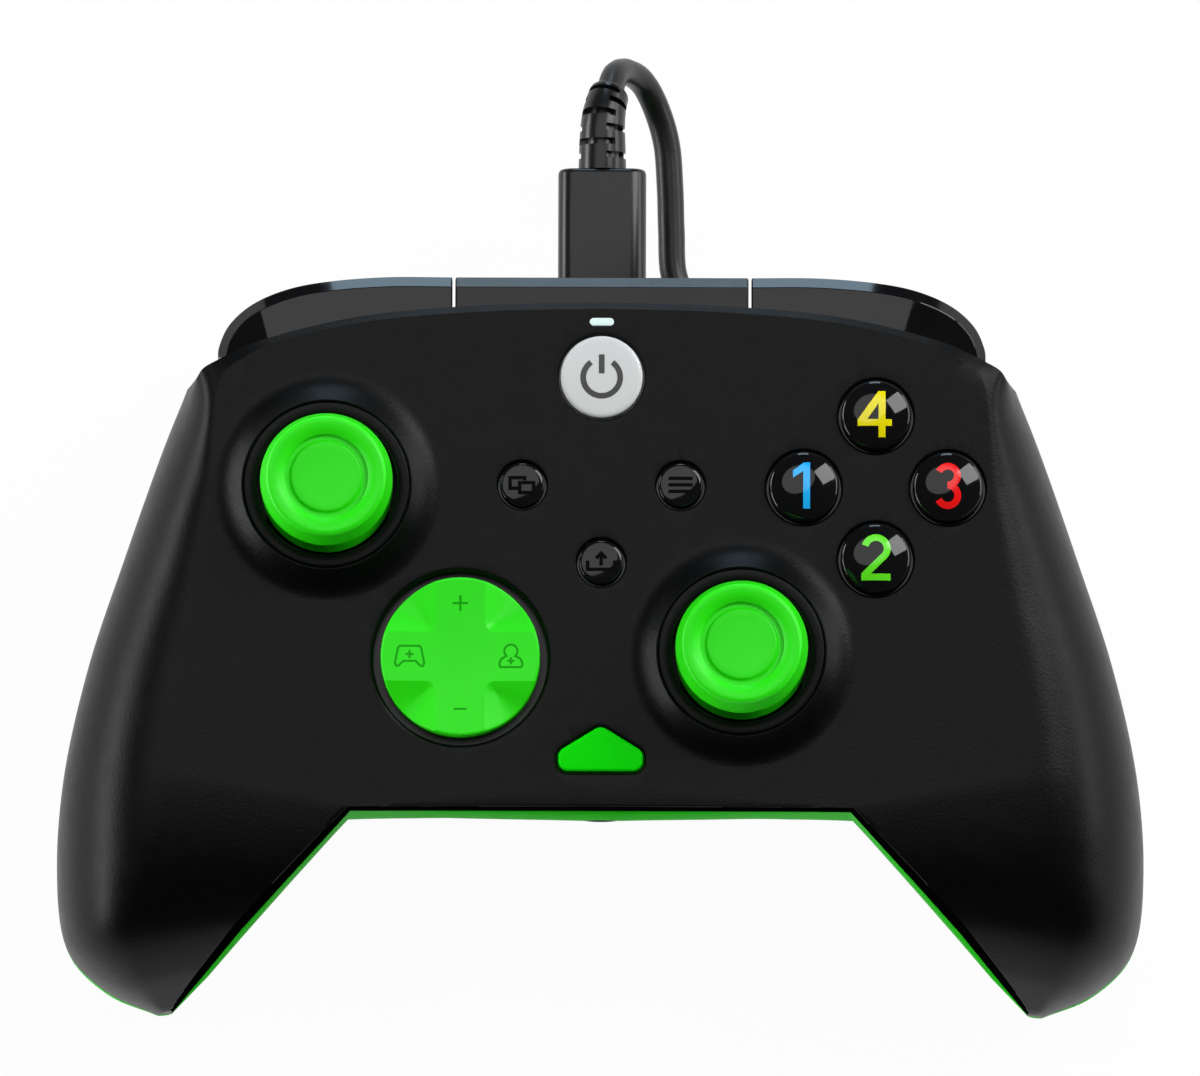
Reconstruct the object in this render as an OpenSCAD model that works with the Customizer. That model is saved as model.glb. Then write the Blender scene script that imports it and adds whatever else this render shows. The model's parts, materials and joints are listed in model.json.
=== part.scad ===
// Wired gamepad controller, face up, standing on its two grips.
// X to the right, Y from the user towards the bumpers, Z up, origin on the floor under the middle.

/* [Body] */
// Width over both grips
body_w = 153; // [140:1:170]
// Length of the shells from the grip tips to the top edge of the face
body_d = 98; // [92:1:106]
// Height of the flat face above the floor
face_z = 47; // [44:0.5:52]
// Height of the belly between the grips above the floor
belly_z = 20.5; // [19:0.5:23]
// Wall of both shells
wall = 2; // [1.6:0.1:2.6]
// Height of the front shell's wall along the bottom edge and the inner grip edges
edge_wall = 4; // [2.6:0.1:6]
// Height of the collar around each stick above the face
collar_h = 2.4; // [1:0.1:3]
// Outer radius of the collar around each stick
collar_r = 16; // [14.5:0.1:17.5]
// Gap between a part that moves and the opening it stands in
gap = 0.3; // [0.2:0.05:0.6]
// Gap of a shaft in its bore, measured on the radius
run_gap = 0.05; // [0.02:0.01:0.1]

/* [Sticks] */
// Distance of the left stick and of the face button cluster from the middle
upper_x = 38.5; // [36:0.5:41]
// Place of the left stick and of the face button cluster along the body
upper_y = 20.8; // [18:0.2:23]
// Distance of the right stick and of the direction pad from the middle
lower_x = 19.7; // [18:0.1:22]
// Place of the right stick along the body
lower_y = -2.6; // [-4:0.1:0]
// Place of the direction pad along the body
pad_y = -3.4; // [-5:0.1:-2]
// Depth of the stick pivot below the face
pivot_drop = 9.5; // [8.5:0.1:11]
// Widest radius of a stick cap
cap_r = 9.65; // [8:0.05:10.5]
// Height of a stick cap
cap_h = 5.7; // [4:0.1:8]
// Height of the underside of a stick cap above the face
cap_lift = 7.3; // [6.5:0.1:9]
// Outer radius of the wear ring around each stick
ring_r = 11.65; // [11.2:0.05:12.5]
// Opening radius of the wear ring
ring_bore = 9.9; // [9:0.1:10.5]
// Radius of the ball-shaped skirt under a stick cap
skirt_r = 12.4; // [11.5:0.1:13]
// Radius of the post inside a stick
post_r = 1.7; // [1.2:0.1:2]
// Side of a stick base
base_w = 17; // [16:0.5:19]

/* [Buttons] */
// Radius of a face button
face_button_r = 4.95; // [4:0.05:5.5]
// Distance of a face button from the middle of its cluster
face_button_step = 10.1; // [9:0.1:11]
// Height of a face button's dome above the face
face_button_lift = 3; // [2:0.1:4]
// Travel of a face button
face_button_travel = 1.5; // [0.8:0.1:1.8]
// Radius of the home button
home_r = 5.75; // [4.5:0.05:6.5]
// Place of the home button along the body
home_y = 36.3; // [35.5:0.1:37]
// Radius of the three small buttons
small_r = 3.1; // [2.5:0.05:3.6]
// Distance of the view and menu buttons from the middle
small_x = 11.1; // [10:0.1:12]
// Place of the view and menu buttons along the body
small_y = 21; // [19:0.1:22]
// Place of the share button along the body
share_y = 10.1; // [8.5:0.1:11]
// Travel of the flat buttons
flat_travel = 0.7; // [0.4:0.1:0.8]
// Width of the triangular function button
function_w = 12.2; // [10:0.1:14]
// Length of the triangular function button
function_d = 6.2; // [5:0.1:7.5]
// Place of the function button along the body
function_y = -16.3; // [-17:0.1:-15.5]
// Length of the status light
light_w = 3.4; // [2:0.1:5]
// Breadth of the status light
light_d = 1.1; // [0.8:0.1:1.6]
// Place of the status light along the body
light_y = 44.1; // [43.6:0.1:44.4]

/* [Direction pad] */
// Radius of the direction pad
dpad_r = 11.15; // [9.5:0.05:11.6]
// Width of an arm of its raised cross
dpad_arm_w = 6.9; // [5:0.1:8]
// Height of the cross above the face
dpad_lift = 2.4; // [1.6:0.1:3]
// Depth of the scooped corners below the cross
dpad_scoop = 1.5; // [0.8:0.1:2]
// Gap around the direction pad, room for its tilt
dpad_gap = 1.1; // [1:0.05:1.4]

/* [Bumpers and triggers] */
// Half the width of the fixed bridge between the bumpers
bridge_half = 20.6; // [19.5:0.1:22]
// Gap between the bridge and a bumper
bumper_gap = 0.4; // [0.3:0.05:0.6]
// Reach of the bridge and the bumpers from the middle of the body
bumper_y = 51; // [50.5:0.1:52]
// Height of the bumper band
bumper_h = 11.6; // [9:0.1:11.8]
// Distance of a bumper pin from the middle
bumper_pin_x = 24; // [23.5:0.1:26]
// Place of a bumper pin along the body
bumper_pin_y = 45.5; // [45:0.1:46.5]
// Radius of the pins of the bumpers and triggers
pin_r = 1.2; // [1:0.05:1.4]
// Distance of a trigger's inner side from the middle
trigger_x = 28.2; // [27.8:0.1:30]
// Width of a trigger
trigger_w = 21.6; // [18:0.1:22]
// Place of the trigger pin along the body
trigger_pin_y = 37.5; // [37:0.1:38]
// Depth of the trigger pin below the face
trigger_pin_drop = 20; // [19.5:0.1:20.5]

/* [Inside] */
// Depth of the board's top below the face
board_drop = 15; // [14.5:0.1:16]
// Thickness of the board
board_t = 1.6; // [1:0.1:2]
// Thickness of a rubber pad's sheet
pad_t = 1; // [0.6:0.1:1.4]
// Radius of a rumble motor
motor_r = 5.5; // [4.5:0.1:6.5]
// Length of a rumble motor
motor_l = 12; // [9:0.5:14]
// Radius of a rumble weight
weight_r = 8; // [6:0.1:9]
// Distance of a rumble motor from the middle
motor_x = 58; // [56:0.5:60]
// Height of a rumble motor's axis above the floor
motor_z = 18; // [16:0.5:20]
// Radius of the headset jack's bore
jack_r = 1.8; // [1.7:0.05:1.9]
// Height of the headset jack's axis above the board
jack_lift = 2.6; // [2.4:0.1:3]
// Shank radius of a shell screw
screw_r = 1.2; // [1:0.05:1.4]
// Head radius of a shell screw
screw_head_r = 2.3; // [2:0.1:2.6]
// Shank radius of a board screw
board_screw_r = 0.9; // [0.7:0.05:1.2]

/* [Cable] */
// Diameter of the cable
cable_d = 3.8; // [3:0.1:4]
// Width of the near plug's body
plug_w = 12.4; // [11:0.1:13]
// Thickness of the near plug's body
plug_h = 6.6; // [6:0.1:7]
// Reach of the near plug's body from the middle of the controller
plug_end_y = 67.2; // [64:0.2:68]
// Spiral turns in each of the coil's four layers
coil_turns = 3.587; // [3:0.001:3.6]
// Sideways step from one turn of the coil to the next
coil_step = 5.2; // [5:0.05:5.6]
// Step from one layer of the coil to the next
coil_layer = 4.25; // [4.25:0.05:4.3]
// Radius of the coil's innermost turn, measured to the middle of the cable
coil_in = 13.8; // [12:0.1:14]

/* [Hidden] */
$fn = 48;

black = [0.12, 0.12, 0.12];
gloss = [0.05, 0.05, 0.06];
green = [0.15, 0.85, 0.1];
grey = [0.85, 0.86, 0.87];
steel = [0.7, 0.71, 0.73];
board_green = [0.05, 0.3, 0.16];
rubber = [0.75, 0.75, 0.72];

// Heights that follow from the face and the board
under_face = face_z - wall;
board_top = face_z - board_drop;
board_low = board_top - board_t;
pivot_z = face_z - pivot_drop;
cap_z = face_z + cap_lift;
trigger_pin_z = face_z - trigger_pin_drop;
jack_z = board_top + jack_lift;
socket_h = 3.2;
plug_z = board_top + socket_h / 2;

// Height of the rear shell's rim under the bumpers, and of the front shell's rim over them
band_top_drop = 3.7;
band_rim = face_z - band_top_drop;
band_top = band_rim - gap;
band_low = band_top - bumper_h;
rear_rim = band_low - 2.7;

// Rungs across the shells from a grip's tip round to the middle of the top edge, right half.
// Each has its outer point, its inner point, the drops from the face to the outer rim, to the
// inner rim and to the crown, the keel's height above the floor, the rounding widths at the
// outer and the inner edge, half the width of the keel, and how far the rear shell's wall swells
// out below the inner rim and how high that wall is.
rungs = [
    [[62.4, -51.0], [60.3, -50.8], 28.4, 28.0, 24.0, 17.0, 1.0, 0.8, 1, 0, 0.5],
    [[69.8, -47.7], [55.8, -45.9], 27.4, 23.5, 14.0, 6.0, 6.0, 4.5, 8, 0.6, 3],
    [[75.2, -41.8], [50.6, -40.1], 25.2, 18.3, 6.5, 0.6, 10.0, 8.0, 13, 0.7, 5],
    [[76.5, -31.0], [43.8, -33.2], 22.0, 12.3, 2.0, 0.0, 14.0, 8.0, 17, 0.35, 6],
    [[75.4, -17.5], [35.1, -24.4], 19.0, 5.5, 0.0, 1.0, 15.0, 0.8, 17, 0, 7],
    [[72.0, -2.5], [26.0, -24.4], 18.0, 5.0, 0.0, 1.4, 14.0, 0.8, 15, 0.3, 8],
    [[67.1, 12.4], [20.0, -24.4], 18.0, 5.0, 0.0, 0.8, 13.0, 0.8, 13.5, 0.5, 8],
    [[62.0, 27.0], [15.0, -24.4], 17.7, 5.0, 0.0, 0.0, 11.0, 0.8, 12.5, 0.6, 8],
    [[58.4, 36.0], [11.5, -24.4], 17.0, 5.0, 0.0, 12.0, 7.0, 0.8, 11, 0.66, 8],
    [[54.2, 38.5], [9.5, -24.4], 3.7, 5.0, 0.0, 17.0, 2.0, 0.8, 9, 0.69, 8],
    [[47.0, 41.7], [7.5, -24.4], 3.7, 5.0, 0.0, 20.0, 1.0, 0.8, 9, 0.71, 8],
    [[33.0, 45.0], [5.0, -24.4], 3.7, 5.0, 0.0, 21.0, 1.0, 0.8, 9, 0.73, 8],
    [[16.0, 46.5], [2.5, -24.4], 3.7, 5.0, 0.0, 21.0, 1.0, 0.8, 9, 0.75, 8],
    [[0.0, 46.9], [0.0, -24.4], 3.7, 5.0, 0.0, 21.0, 1.0, 0.8, 9, 0.75, 8]
];
// Rung at the top corner, where the outline turns sharply
corner_rung = 8;
// The table is stretched to the body's width and length
widest_rung = 3;
bottom_rung = 4;
kx = body_w / (2 * rungs[widest_rung][0][0]);
ky = body_d / (rungs[len(rungs) - 1][0][1] - rungs[0][0][1]);
bottom_y = rungs[bottom_rung][1][1] * ky;
// Run of the rear shell's bottom wall where it leans into the belly
wall_lean = 2;
// Columns of faces between two rungs
rung_steps = 2;
half_cols = (len(rungs) - 1) * rung_steps;

function mix(a, b, t) = a + (b - a) * t;
function spline(a, b, c, d, t) = 0.5 * (2 * b + (c - a) * t + (2 * a - 5 * b + 4 * c - d) * t * t
    + (3 * b - a - 3 * c + d) * t * t * t);
// A smooth value between rungs k and k+1, with a sharp turn at the top corner
function smooth(k, t, item) = let (
    b = rungs[k][item],
    c = rungs[k + 1][item],
    a = (k == 0 || k == corner_rung) ? 2 * b - c : rungs[k - 1][item],
    d = (k + 1 == corner_rung || k + 2 >= len(rungs)) ? 2 * c - b : rungs[k + 2][item]
) spline(a, b, c, d, t);
function straight(k, t, item) = mix(rungs[k][item], rungs[k + 1][item], t);
function stretch(p) = [p[0] * kx, p[1] * ky];

// One rung at column i of the right half: [outer, inner, rims, crown, keel, roundings, keel width,
// swell and height of the rear wall]
function column(i) = let (
    k = min(floor(i / rung_steps), len(rungs) - 2),
    t = i / rung_steps - k
) [
    stretch(smooth(k, t, 0)), stretch(straight(k, t, 1)),
    face_z - straight(k, t, 2), face_z - straight(k, t, 3),
    face_z - max(0, smooth(k, t, 4)), max(0, smooth(k, t, 5)),
    for (n = [6:10]) straight(k, t, n)
];
function flip(c) = concat([[-c[0][0], c[0][1]], [-c[1][0], c[1][1]]], [for (n = [2:10]) c[n]]);
columns = [for (i = [0:2 * half_cols]) i <= half_cols ? column(i) : flip(column(2 * half_cols - i))];

// The rung moved in by the wall, square to both edges
function tangent(i, item) = let (
    d = columns[min(i + 1, 2 * half_cols)][item] - columns[max(i - 1, 0)][item]
) d / norm(d);
function inset_of(c) = min(wall, 0.22 * norm(c[1] - c[0]));
function inset(i) = let (
    c = columns[i],
    w = inset_of(c),
    o = tangent(i, 0),
    n = tangent(i, 1)
) concat([c[0] + w * [-o[1], o[0]], c[1] + w * [n[1], -n[0]]], [for (m = [2:10]) c[m]]);

// Points down one rung of the front shell: side rounding, crown, edge rounding and edge wall
side_turns = [0, 15, 30, 45, 60, 75, 90];
edge_turns = [30, 60, 90];
function front_row(c, w) = let (
    span = norm(c[1] - c[0]),
    dir = (c[1] - c[0]) / span,
    r = max(min(c[6], 0.45 * span) - w, 0.2),
    e = max(min(c[7], 0.3 * span) - w / 4, 0.2),
    top = c[4] - w,
    edge = min(c[3] + edge_wall - w, top),
    flat = span - r - e,
    side = [for (a = side_turns) [r * (1 - cos(a)), c[2] + (top - c[2]) * sin(a)]],
    mid = [for (f = [0.5, 1]) [r + flat * f, top]],
    turn = [for (a = edge_turns) [span - e + e * sin(a), edge + (top - edge) * cos(a)]],
    all = concat(side, mid, turn, [[span, c[3]]])
) [for (p = all) [c[0][0] + dir[0] * p[0], c[0][1] + dir[1] * p[0], p[1]]];

// Depth of the rear shell across one rung: a keel under the grip, blended into the belly
keel_power = 2.4;
blend = 5;
belly_round = 9;
function bulge(t) = abs(t) >= 1 ? 0 : pow(1 - pow(abs(t), keel_power), 1 / keel_power);
function quarter(t) = t >= 1 ? 1 : sqrt(1 - (1 - t) * (1 - t));
function soft_min(a, b) = let (h = max(blend - abs(a - b), 0) / blend) min(a, b) - h * h * blend / 4;
function rear_rim_at(c) = min(c[2], rear_rim);
function keel_half(c, span) = min(c[8], 0.44 * span);
function rear_depth(c, d, span, w) = let (
    half = keel_half(c, span) - w * 0.4,
    rim = rear_rim_at(c),
    base = mix(rim, c[3], min(d / (2 * half), 1)),
    keel = base - (base - c[5] - w) * bulge((d - half) / half),
    low = belly_z + w,
    outer = mix(max(rim, low), low, quarter(d / belly_round)),
    inner = mix(max(c[3] - c[10], low), low, quarter((span - d) / belly_round))
) soft_min(keel, max(outer, inner));
keel_turns = [for (n = [0:9]) n * 20];
belly_shares = [0.2, 0.45, 0.7, 0.88, 0.97];
// The wall below the inner rim swells out and turns back in: shares of its height, from its foot
wall_shares = [1, 0.65, 0.3, 0];
function swell(h) = sin(135 * pow(h, 0.8));
function rear_row(c, w) = let (
    span = norm(c[1] - c[0]),
    dir = (c[1] - c[0]) / span,
    half = keel_half(c, span),
    keel = [for (a = keel_turns) half * (1 - cos(a))],
    belly = [for (f = belly_shares) mix(2 * half, span, f)],
    under = [for (d = concat(keel, belly)) [d, d == 0 ? rear_rim_at(c) : rear_depth(c, d, span, w)]],
    side = [for (h = wall_shares) [span + c[9] * swell(h), c[3] - c[10] * h]]
) [for (p = concat(under, side)) [c[0][0] + dir[0] * p[0], c[0][1] + dir[1] * p[0], p[1]]];

// Closed skin between two grids of points, the first one outside and a column longer at each end
module skin(outer, inner, inside_out) {
    last = len(outer) - 1;
    rows = len(outer[0]);
    edge = rows - 1;
    far = (last + 1) * rows;
    function at(i, j) = i * rows + j;
    function in(i, j) = far + (i - 1) * rows + j;
    function two(a, b, c, d) = [[a, b, c], [a, c, d]];
    outside = [for (i = [0:last - 1], j = [0:edge - 1],
        f = two(at(i, j), at(i + 1, j), at(i + 1, j + 1), at(i, j + 1))) f];
    inside = [for (i = [1:last - 2], j = [0:edge - 1],
        f = two(in(i, j), in(i, j + 1), in(i + 1, j + 1), in(i + 1, j))) f];
    rims = [for (i = [1:last - 2], f = concat(
        two(at(i, 0), in(i, 0), in(i + 1, 0), at(i + 1, 0)),
        two(at(i, edge), at(i + 1, edge), in(i + 1, edge), in(i, edge))
    )) f];
    caps = [for (j = [1:edge - 1], f = [
        [at(0, 0), at(0, j), at(0, j + 1)], [in(1, 0), in(1, j + 1), in(1, j)],
        [at(last, 0), at(last, j + 1), at(last, j)], [in(last - 1, 0), in(last - 1, j), in(last - 1, j + 1)]
    ]) f];
    ends = concat(
        [[at(0, 0), in(1, 0), at(1, 0)], [at(0, edge), at(1, edge), in(1, edge)]],
        [[at(last - 1, 0), in(last - 1, 0), at(last, 0)]],
        [[at(last - 1, edge), at(last, edge), in(last - 1, edge)]],
        two(at(0, 0), at(0, edge), in(1, edge), in(1, 0)),
        two(at(last, edge), at(last, 0), in(last - 1, 0), in(last - 1, edge))
    );
    faces = concat(outside, inside, rims, caps, ends);
    points = [for (g = [outer, inner], c = g, p = c) p];
    polyhedron(points, inside_out ? [for (f = faces) [f[2], f[1], f[0]]] : faces, convexity = 10);
}
front_outer = [for (c = columns) front_row(c, 0)];
front_inner = [for (i = [1:2 * half_cols - 1]) front_row(inset(i), inset_of(columns[i]))];
rear_outer = [for (c = columns) rear_row(c, 0)];
rear_inner = [for (i = [1:2 * half_cols - 1]) rear_row(inset(i), inset_of(columns[i]))];

// Places that several pieces share
left_stick = [-upper_x, upper_y];
right_stick = [lower_x, lower_y];
pad_place = [-lower_x, pad_y];
cluster = [upper_x, upper_y];
home_place = [0, home_y];
function_place = [0, function_y];
ring_hole_r = ring_r + run_gap;
// Flange under the face that keeps a button in its hole
flange_t = 1.5;
flange_top = under_face - gap;
flange_w = 1;
// Top of the rubber domes, where the button stems stand
dome_z = board_top + pad_t + 2.5 + face_button_travel;
// Flat button tops stay a little proud of the face when pressed
flat_lift = flat_travel + 0.3;
// Shell screws: place and height of the head's seat above the floor
seat_web = 2;
grip_seat = 14;
belly_seat = belly_z + 4;
shell_screw_places = [
    [62 * kx, -36 * ky, grip_seat, 5.7], [-62 * kx, -36 * ky, grip_seat, 5.7],
    [32 * kx, -15.5 * ky, belly_seat, 1], [-32 * kx, -15.5 * ky, belly_seat, 1], [0, 25.5, belly_seat, 1]
];
boss_r = screw_head_r + 1.3;
post_boss_r = screw_r + 1.9;
shell_screw_l = 10;
board_screw_places = [[20, 34], [-20, 34], [23, -18], [-23, -18]];
board_boss_r = board_screw_r + 1.6;
board_screw_l = 7;

module turned(side) {
    mirror([side < 0 ? 1 : 0, 0, 0]) children();
}
module at(p, z = 0) {
    translate([p[0], p[1], z]) children();
}
module rounded_square(size, r) {
    square([size[0] - 2 * r, size[1]], center = true);
    square([size[0], size[1] - 2 * r], center = true);
    for (x = [-1, 1], y = [-1, 1])
        translate([x * (size[0] / 2 - r), y * (size[1] / 2 - r)]) circle(r);
}
// Bar with a rounded section along Y
module bar_y(size, r, y0, y1, z) {
    translate([0, y1, z]) rotate([90, 0, 0]) linear_extrude(y1 - y0) rounded_square(size, r);
}
module rod_x(r, x0, x1, y, z) {
    translate([x0, y, z]) rotate([0, 90, 0]) cylinder(r = r, h = x1 - x0);
}
module rod_y(r, y0, y1, x, z) {
    translate([x, y0, z]) rotate([-90, 0, 0]) cylinder(r = r, h = y1 - y0);
}
// Rounded triangle of the function button, pointing away from the user
function_round = 1;
module function_outline(grow) {
    r = function_round + grow;
    half = function_w / 2 - function_round;
    low = -function_d / 2 + function_round;
    high = function_d / 2 - function_round;
    corners = [[-half, low], [half, low], [half, low + 0.8], [0, high], [-half, low + 0.8]];
    polygon(corners);
    for (n = [0:len(corners) - 1]) {
        a = corners[n];
        b = corners[(n + 1) % len(corners)];
        translate(a) circle(r);
        translate(a) rotate(atan2(b[1] - a[1], b[0] - a[0])) translate([0, -r]) square([norm(b - a), r]);
    }
}

// Front shell
module collar(p) {
    at(p) rotate_extrude() polygon([
        [ring_r - 0.5, under_face + 0.4], [collar_r - 2.4, under_face + 0.4],
        [collar_r - 2.4, under_face - 1.2], [collar_r + 0.4, under_face - 1.2], [collar_r, face_z],
        [collar_r - 0.6, face_z + 0.2 * collar_h], [collar_r - 1.5, face_z + 0.55 * collar_h],
        [collar_r - 2.5, face_z + 0.85 * collar_h], [collar_r - 3.4, face_z + collar_h],
        [ring_r - 0.5, face_z + collar_h]
    ]);
}
module face_holes() {
    deep = 3 * wall + collar_h;
    low = face_z - 2 * wall;
    for (p = [left_stick, right_stick])
        at(p, low) cylinder(r = ring_hole_r, h = deep);
    at(pad_place, low) cylinder(r = dpad_r + dpad_gap, h = deep);
    for (a = [0:90:270])
        at(cluster, low) rotate(a) translate([face_button_step, 0]) cylinder(r = face_button_r + gap, h = deep);
    at(home_place, low) cylinder(r = home_r + gap, h = deep);
    for (p = [[-small_x, small_y], [small_x, small_y], [0, share_y]])
        at(p, low) cylinder(r = small_r + gap, h = deep);
    at(function_place, low) linear_extrude(deep) function_outline(gap);
    translate([0, light_y, low]) linear_extrude(deep)
        rounded_square([light_w + run_gap, light_d + run_gap], light_d / 2);
}
module front_shell() {
    color(black) difference() {
        union() {
            skin(front_outer, front_inner, true);
            collar(left_stick);
            collar(right_stick);
            for (p = shell_screw_places)
                at(p, p[2] + seat_web) cylinder(r = post_boss_r, h = face_z - p[3] - p[2] - seat_web);
        }
        face_holes();
        for (p = shell_screw_places)
            at(p, p[2]) cylinder(r = screw_r + run_gap, h = shell_screw_l + 1);
    }
}

// Rear shell
trigger_room = 2.2;
notch_y = trigger_pin_y - 3.7;
jack_nose_r = jack_r + 0.7;
cradle_w = 8;
motor_at = motor_x * kx;
motor_y = -26 * ky;
module rear_shell() {
    color(green) difference() {
        union() {
            skin(rear_outer, rear_inner, false);
            for (p = shell_screw_places) {
                start = p[2] == grip_seat ? 1.6 : belly_z + wall / 2;
                at(p, start) cylinder(r = boss_r, h = p[2] + seat_web - start);
            }
            for (p = board_screw_places)
                at(p, belly_z + wall / 2) cylinder(r = board_boss_r, h = board_low - belly_z - wall / 2);
            for (x = [-motor_at, motor_at])
                translate([x - cradle_w / 2, motor_y + 1, 2.2]) cube([cradle_w, motor_l - 2, motor_z - 4.2]);
        }
        for (p = shell_screw_places) {
            at(p, -1) cylinder(r = screw_head_r + gap, h = p[2] + 1);
            at(p, 0) cylinder(r = screw_r + gap, h = p[2] + seat_web + 1);
        }
        for (p = board_screw_places)
            at(p, board_low - board_screw_l) cylinder(r = board_screw_r + run_gap, h = board_screw_l + 1);
        for (x = [-motor_at, motor_at])
            rod_y(motor_r + run_gap, motor_y - 1, motor_y + motor_l + 1, x, motor_z);
        for (side = [-1, 1]) turned(side)
            translate([trigger_x - trigger_room, notch_y, -1]) cube([trigger_w + 2 * trigger_room, 40, 60]);
        rod_y(jack_nose_r + run_gap, bottom_y - 1, bottom_y + 2 * wall, 0, jack_z);
    }
}

// Bridge between the bumpers, with the port and an ear for each bumper pin
band_y = 43.4;
port_gap = 0.25;
socket_w = 8.9;
socket_end_y = 45.4;
mouth_y = 46;
ear_gap = 0.3;
module top_bridge() {
    ear_x = bumper_pin_x + pin_r + 1.2;
    color(gloss) difference() {
        union() {
            translate([-bridge_half, band_y, rear_rim])
                cube([2 * bridge_half, bumper_y - band_y, band_top - rear_rim]);
            translate([-ear_x, bumper_pin_y - 2.4, rear_rim])
                cube([2 * ear_x, 4.8, band_low - rear_rim - ear_gap]);
        }
        for (side = [-1, 1]) turned(side) {
            translate([bumper_pin_x, bumper_pin_y, rear_rim - 1]) cylinder(r = pin_r + 0.01, h = 9);
            translate([plug_w / 2 + 2, band_y - 1, band_low])
                cube([bridge_half - plug_w / 2 - 4, 5.6, bumper_h - 2]);
        }
        bar_y([plug_w + 2 * port_gap, plug_h + 2 * port_gap], 2, mouth_y, bumper_y + 1, plug_z);
        bar_y([socket_w + 2 * port_gap, socket_h + 2 * port_gap], 1.2, band_y - 1, bumper_y, plug_z);
    }
}

// Bumpers: a curved band on a vertical pin at its inner end
bumper_in = bridge_half + bumper_gap;
bumper_outer_pts = [
    [bumper_in, bumper_y], [30 * kx, bumper_y], [38 * kx, bumper_y - 0.6], [44 * kx, bumper_y - 1.7],
    [49 * kx, bumper_y - 3.7], [52.3 * kx, bumper_y - 6.4], [53.8 * kx, bumper_y - 9.4],
    [54 * kx, bumper_y - 11.6]
];
bumper_inner_pts = [
    [51.5 * kx, bumper_y - 12.6], [47 * kx, bumper_y - 11.6], [36 * kx, bumper_y - 9.4],
    [bumper_in, bumper_y - 8.6]
];
function through(pts, n) = [for (k = [0:len(pts) - 2], s = [0:n - 1]) let (
    b = pts[k],
    c = pts[k + 1],
    a = k == 0 ? 2 * b - c : pts[k - 1],
    d = k + 2 >= len(pts) ? 2 * c - b : pts[k + 2]
) spline(a, b, c, d, s / n)];
bumper_plan = concat(
    through(bumper_outer_pts, 3), [bumper_outer_pts[7]], through(bumper_inner_pts, 2), [bumper_inner_pts[3]]
);
module bumper(side) {
    color(gloss) turned(side) difference() {
        translate([0, 0, band_low]) linear_extrude(bumper_h) polygon(bumper_plan);
        translate([bumper_pin_x, bumper_pin_y, band_low - 1]) cylinder(r = pin_r + run_gap, h = bumper_h - 0.5);
        translate([bumper_in + 9, band_y - 4, band_low - 1]) cube([14, 7, bumper_h - 1.2]);
    }
}
module left_bumper() { bumper(-1); }
module right_bumper() { bumper(1); }
module bumper_pins() {
    color(steel) for (side = [-1, 1]) turned(side)
        translate([bumper_pin_x, bumper_pin_y, rear_rim + 0.2])
            cylinder(r = pin_r, h = band_top - rear_rim - 2);
}

// Triggers: a hooked lever on a pin across the body
trigger_boss_r = pin_r + 2;
trigger_top = trigger_pin_z + trigger_boss_r;
trigger_hook = [
    [10.1, 3.2], [11.9, 1.6], [13, -1.5], [13.5, -5.5], [13.4, -10], [12.7, -14], [11.7, -17], [10.7, -18.2],
    [9.7, -18], [8.9, -16], [8.3, -12], [6.9, -8], [4.6, -4.9], [2, -3.2], [0, -3.2], [0, 3.2]
];
// Seen from above, the front bends back towards the outer end: share of the width, step back
trigger_front = trigger_pin_y + trigger_hook[3][0];
trigger_bend = [[0, 0], [0.45, 0], [0.65, 0.3], [0.82, 0.8], [1, 1.5]];
trigger_plan = concat(
    [for (b = trigger_bend) [trigger_x + b[0] * trigger_w, trigger_front - b[1]]],
    [[trigger_x + trigger_w, trigger_pin_y - 5], [trigger_x, trigger_pin_y - 5]]
);
spring_room = 4.6;
module trigger(side) {
    color(gloss) turned(side) difference() {
        intersection() {
            union() {
                translate([trigger_x, trigger_pin_y, trigger_pin_z]) rotate([90, 0, 90])
                    linear_extrude(trigger_w) polygon(trigger_hook);
                rod_x(trigger_boss_r, trigger_x, trigger_x + trigger_w, trigger_pin_y, trigger_pin_z);
            }
            linear_extrude(face_z) polygon(trigger_plan);
        }
        rod_x(pin_r + run_gap, trigger_x - 1, trigger_x + trigger_w + 1, trigger_pin_y, trigger_pin_z);
        translate([trigger_x + trigger_w - spring_room, trigger_pin_y - 5, trigger_pin_z - 5])
            cube([spring_room + 1, 9, 10]);
    }
}
module left_trigger() { trigger(-1); }
module right_trigger() { trigger(1); }
cheek_t = 1.4;
cheek_l = 8.6;
cheek_gap = 0.4;
frame_x0 = trigger_x - cheek_gap - cheek_t;
frame_x1 = trigger_x + trigger_w + cheek_gap + cheek_t;
module trigger_pin(side) {
    color(steel) turned(side) rod_x(pin_r, frame_x0, frame_x1, trigger_pin_y, trigger_pin_z);
}
module left_trigger_pin() { trigger_pin(-1); }
module right_trigger_pin() { trigger_pin(1); }
shelf_z = trigger_top + 0.8;
shelf_t = 1.2;
switch_x = 43.5;
switch_w = 5;
switch_d = 3.4;
switch_h = 3.6;
nub = [2, 0.9, 2];
module trigger_frame(side) {
    low = belly_z + wall;
    high = shelf_z - low;
    y0 = notch_y - cheek_t - 0.1;
    color(black) turned(side) difference() {
        union() {
            translate([frame_x0, y0, low]) cube([frame_x1 - frame_x0, cheek_t, high]);
            for (x = [frame_x0, frame_x1 - cheek_t])
                translate([x, y0, low]) cube([cheek_t, cheek_l, high]);
            translate([switch_x - 1, y0, shelf_z - 0.01])
                cube([switch_w + 2, cheek_t + switch_d - 0.2, shelf_t]);
        }
        rod_x(pin_r + 0.01, frame_x0 - 1, frame_x1 + 1, trigger_pin_y, trigger_pin_z);
    }
}
module left_trigger_frame() { trigger_frame(-1); }
module right_trigger_frame() { trigger_frame(1); }
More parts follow.
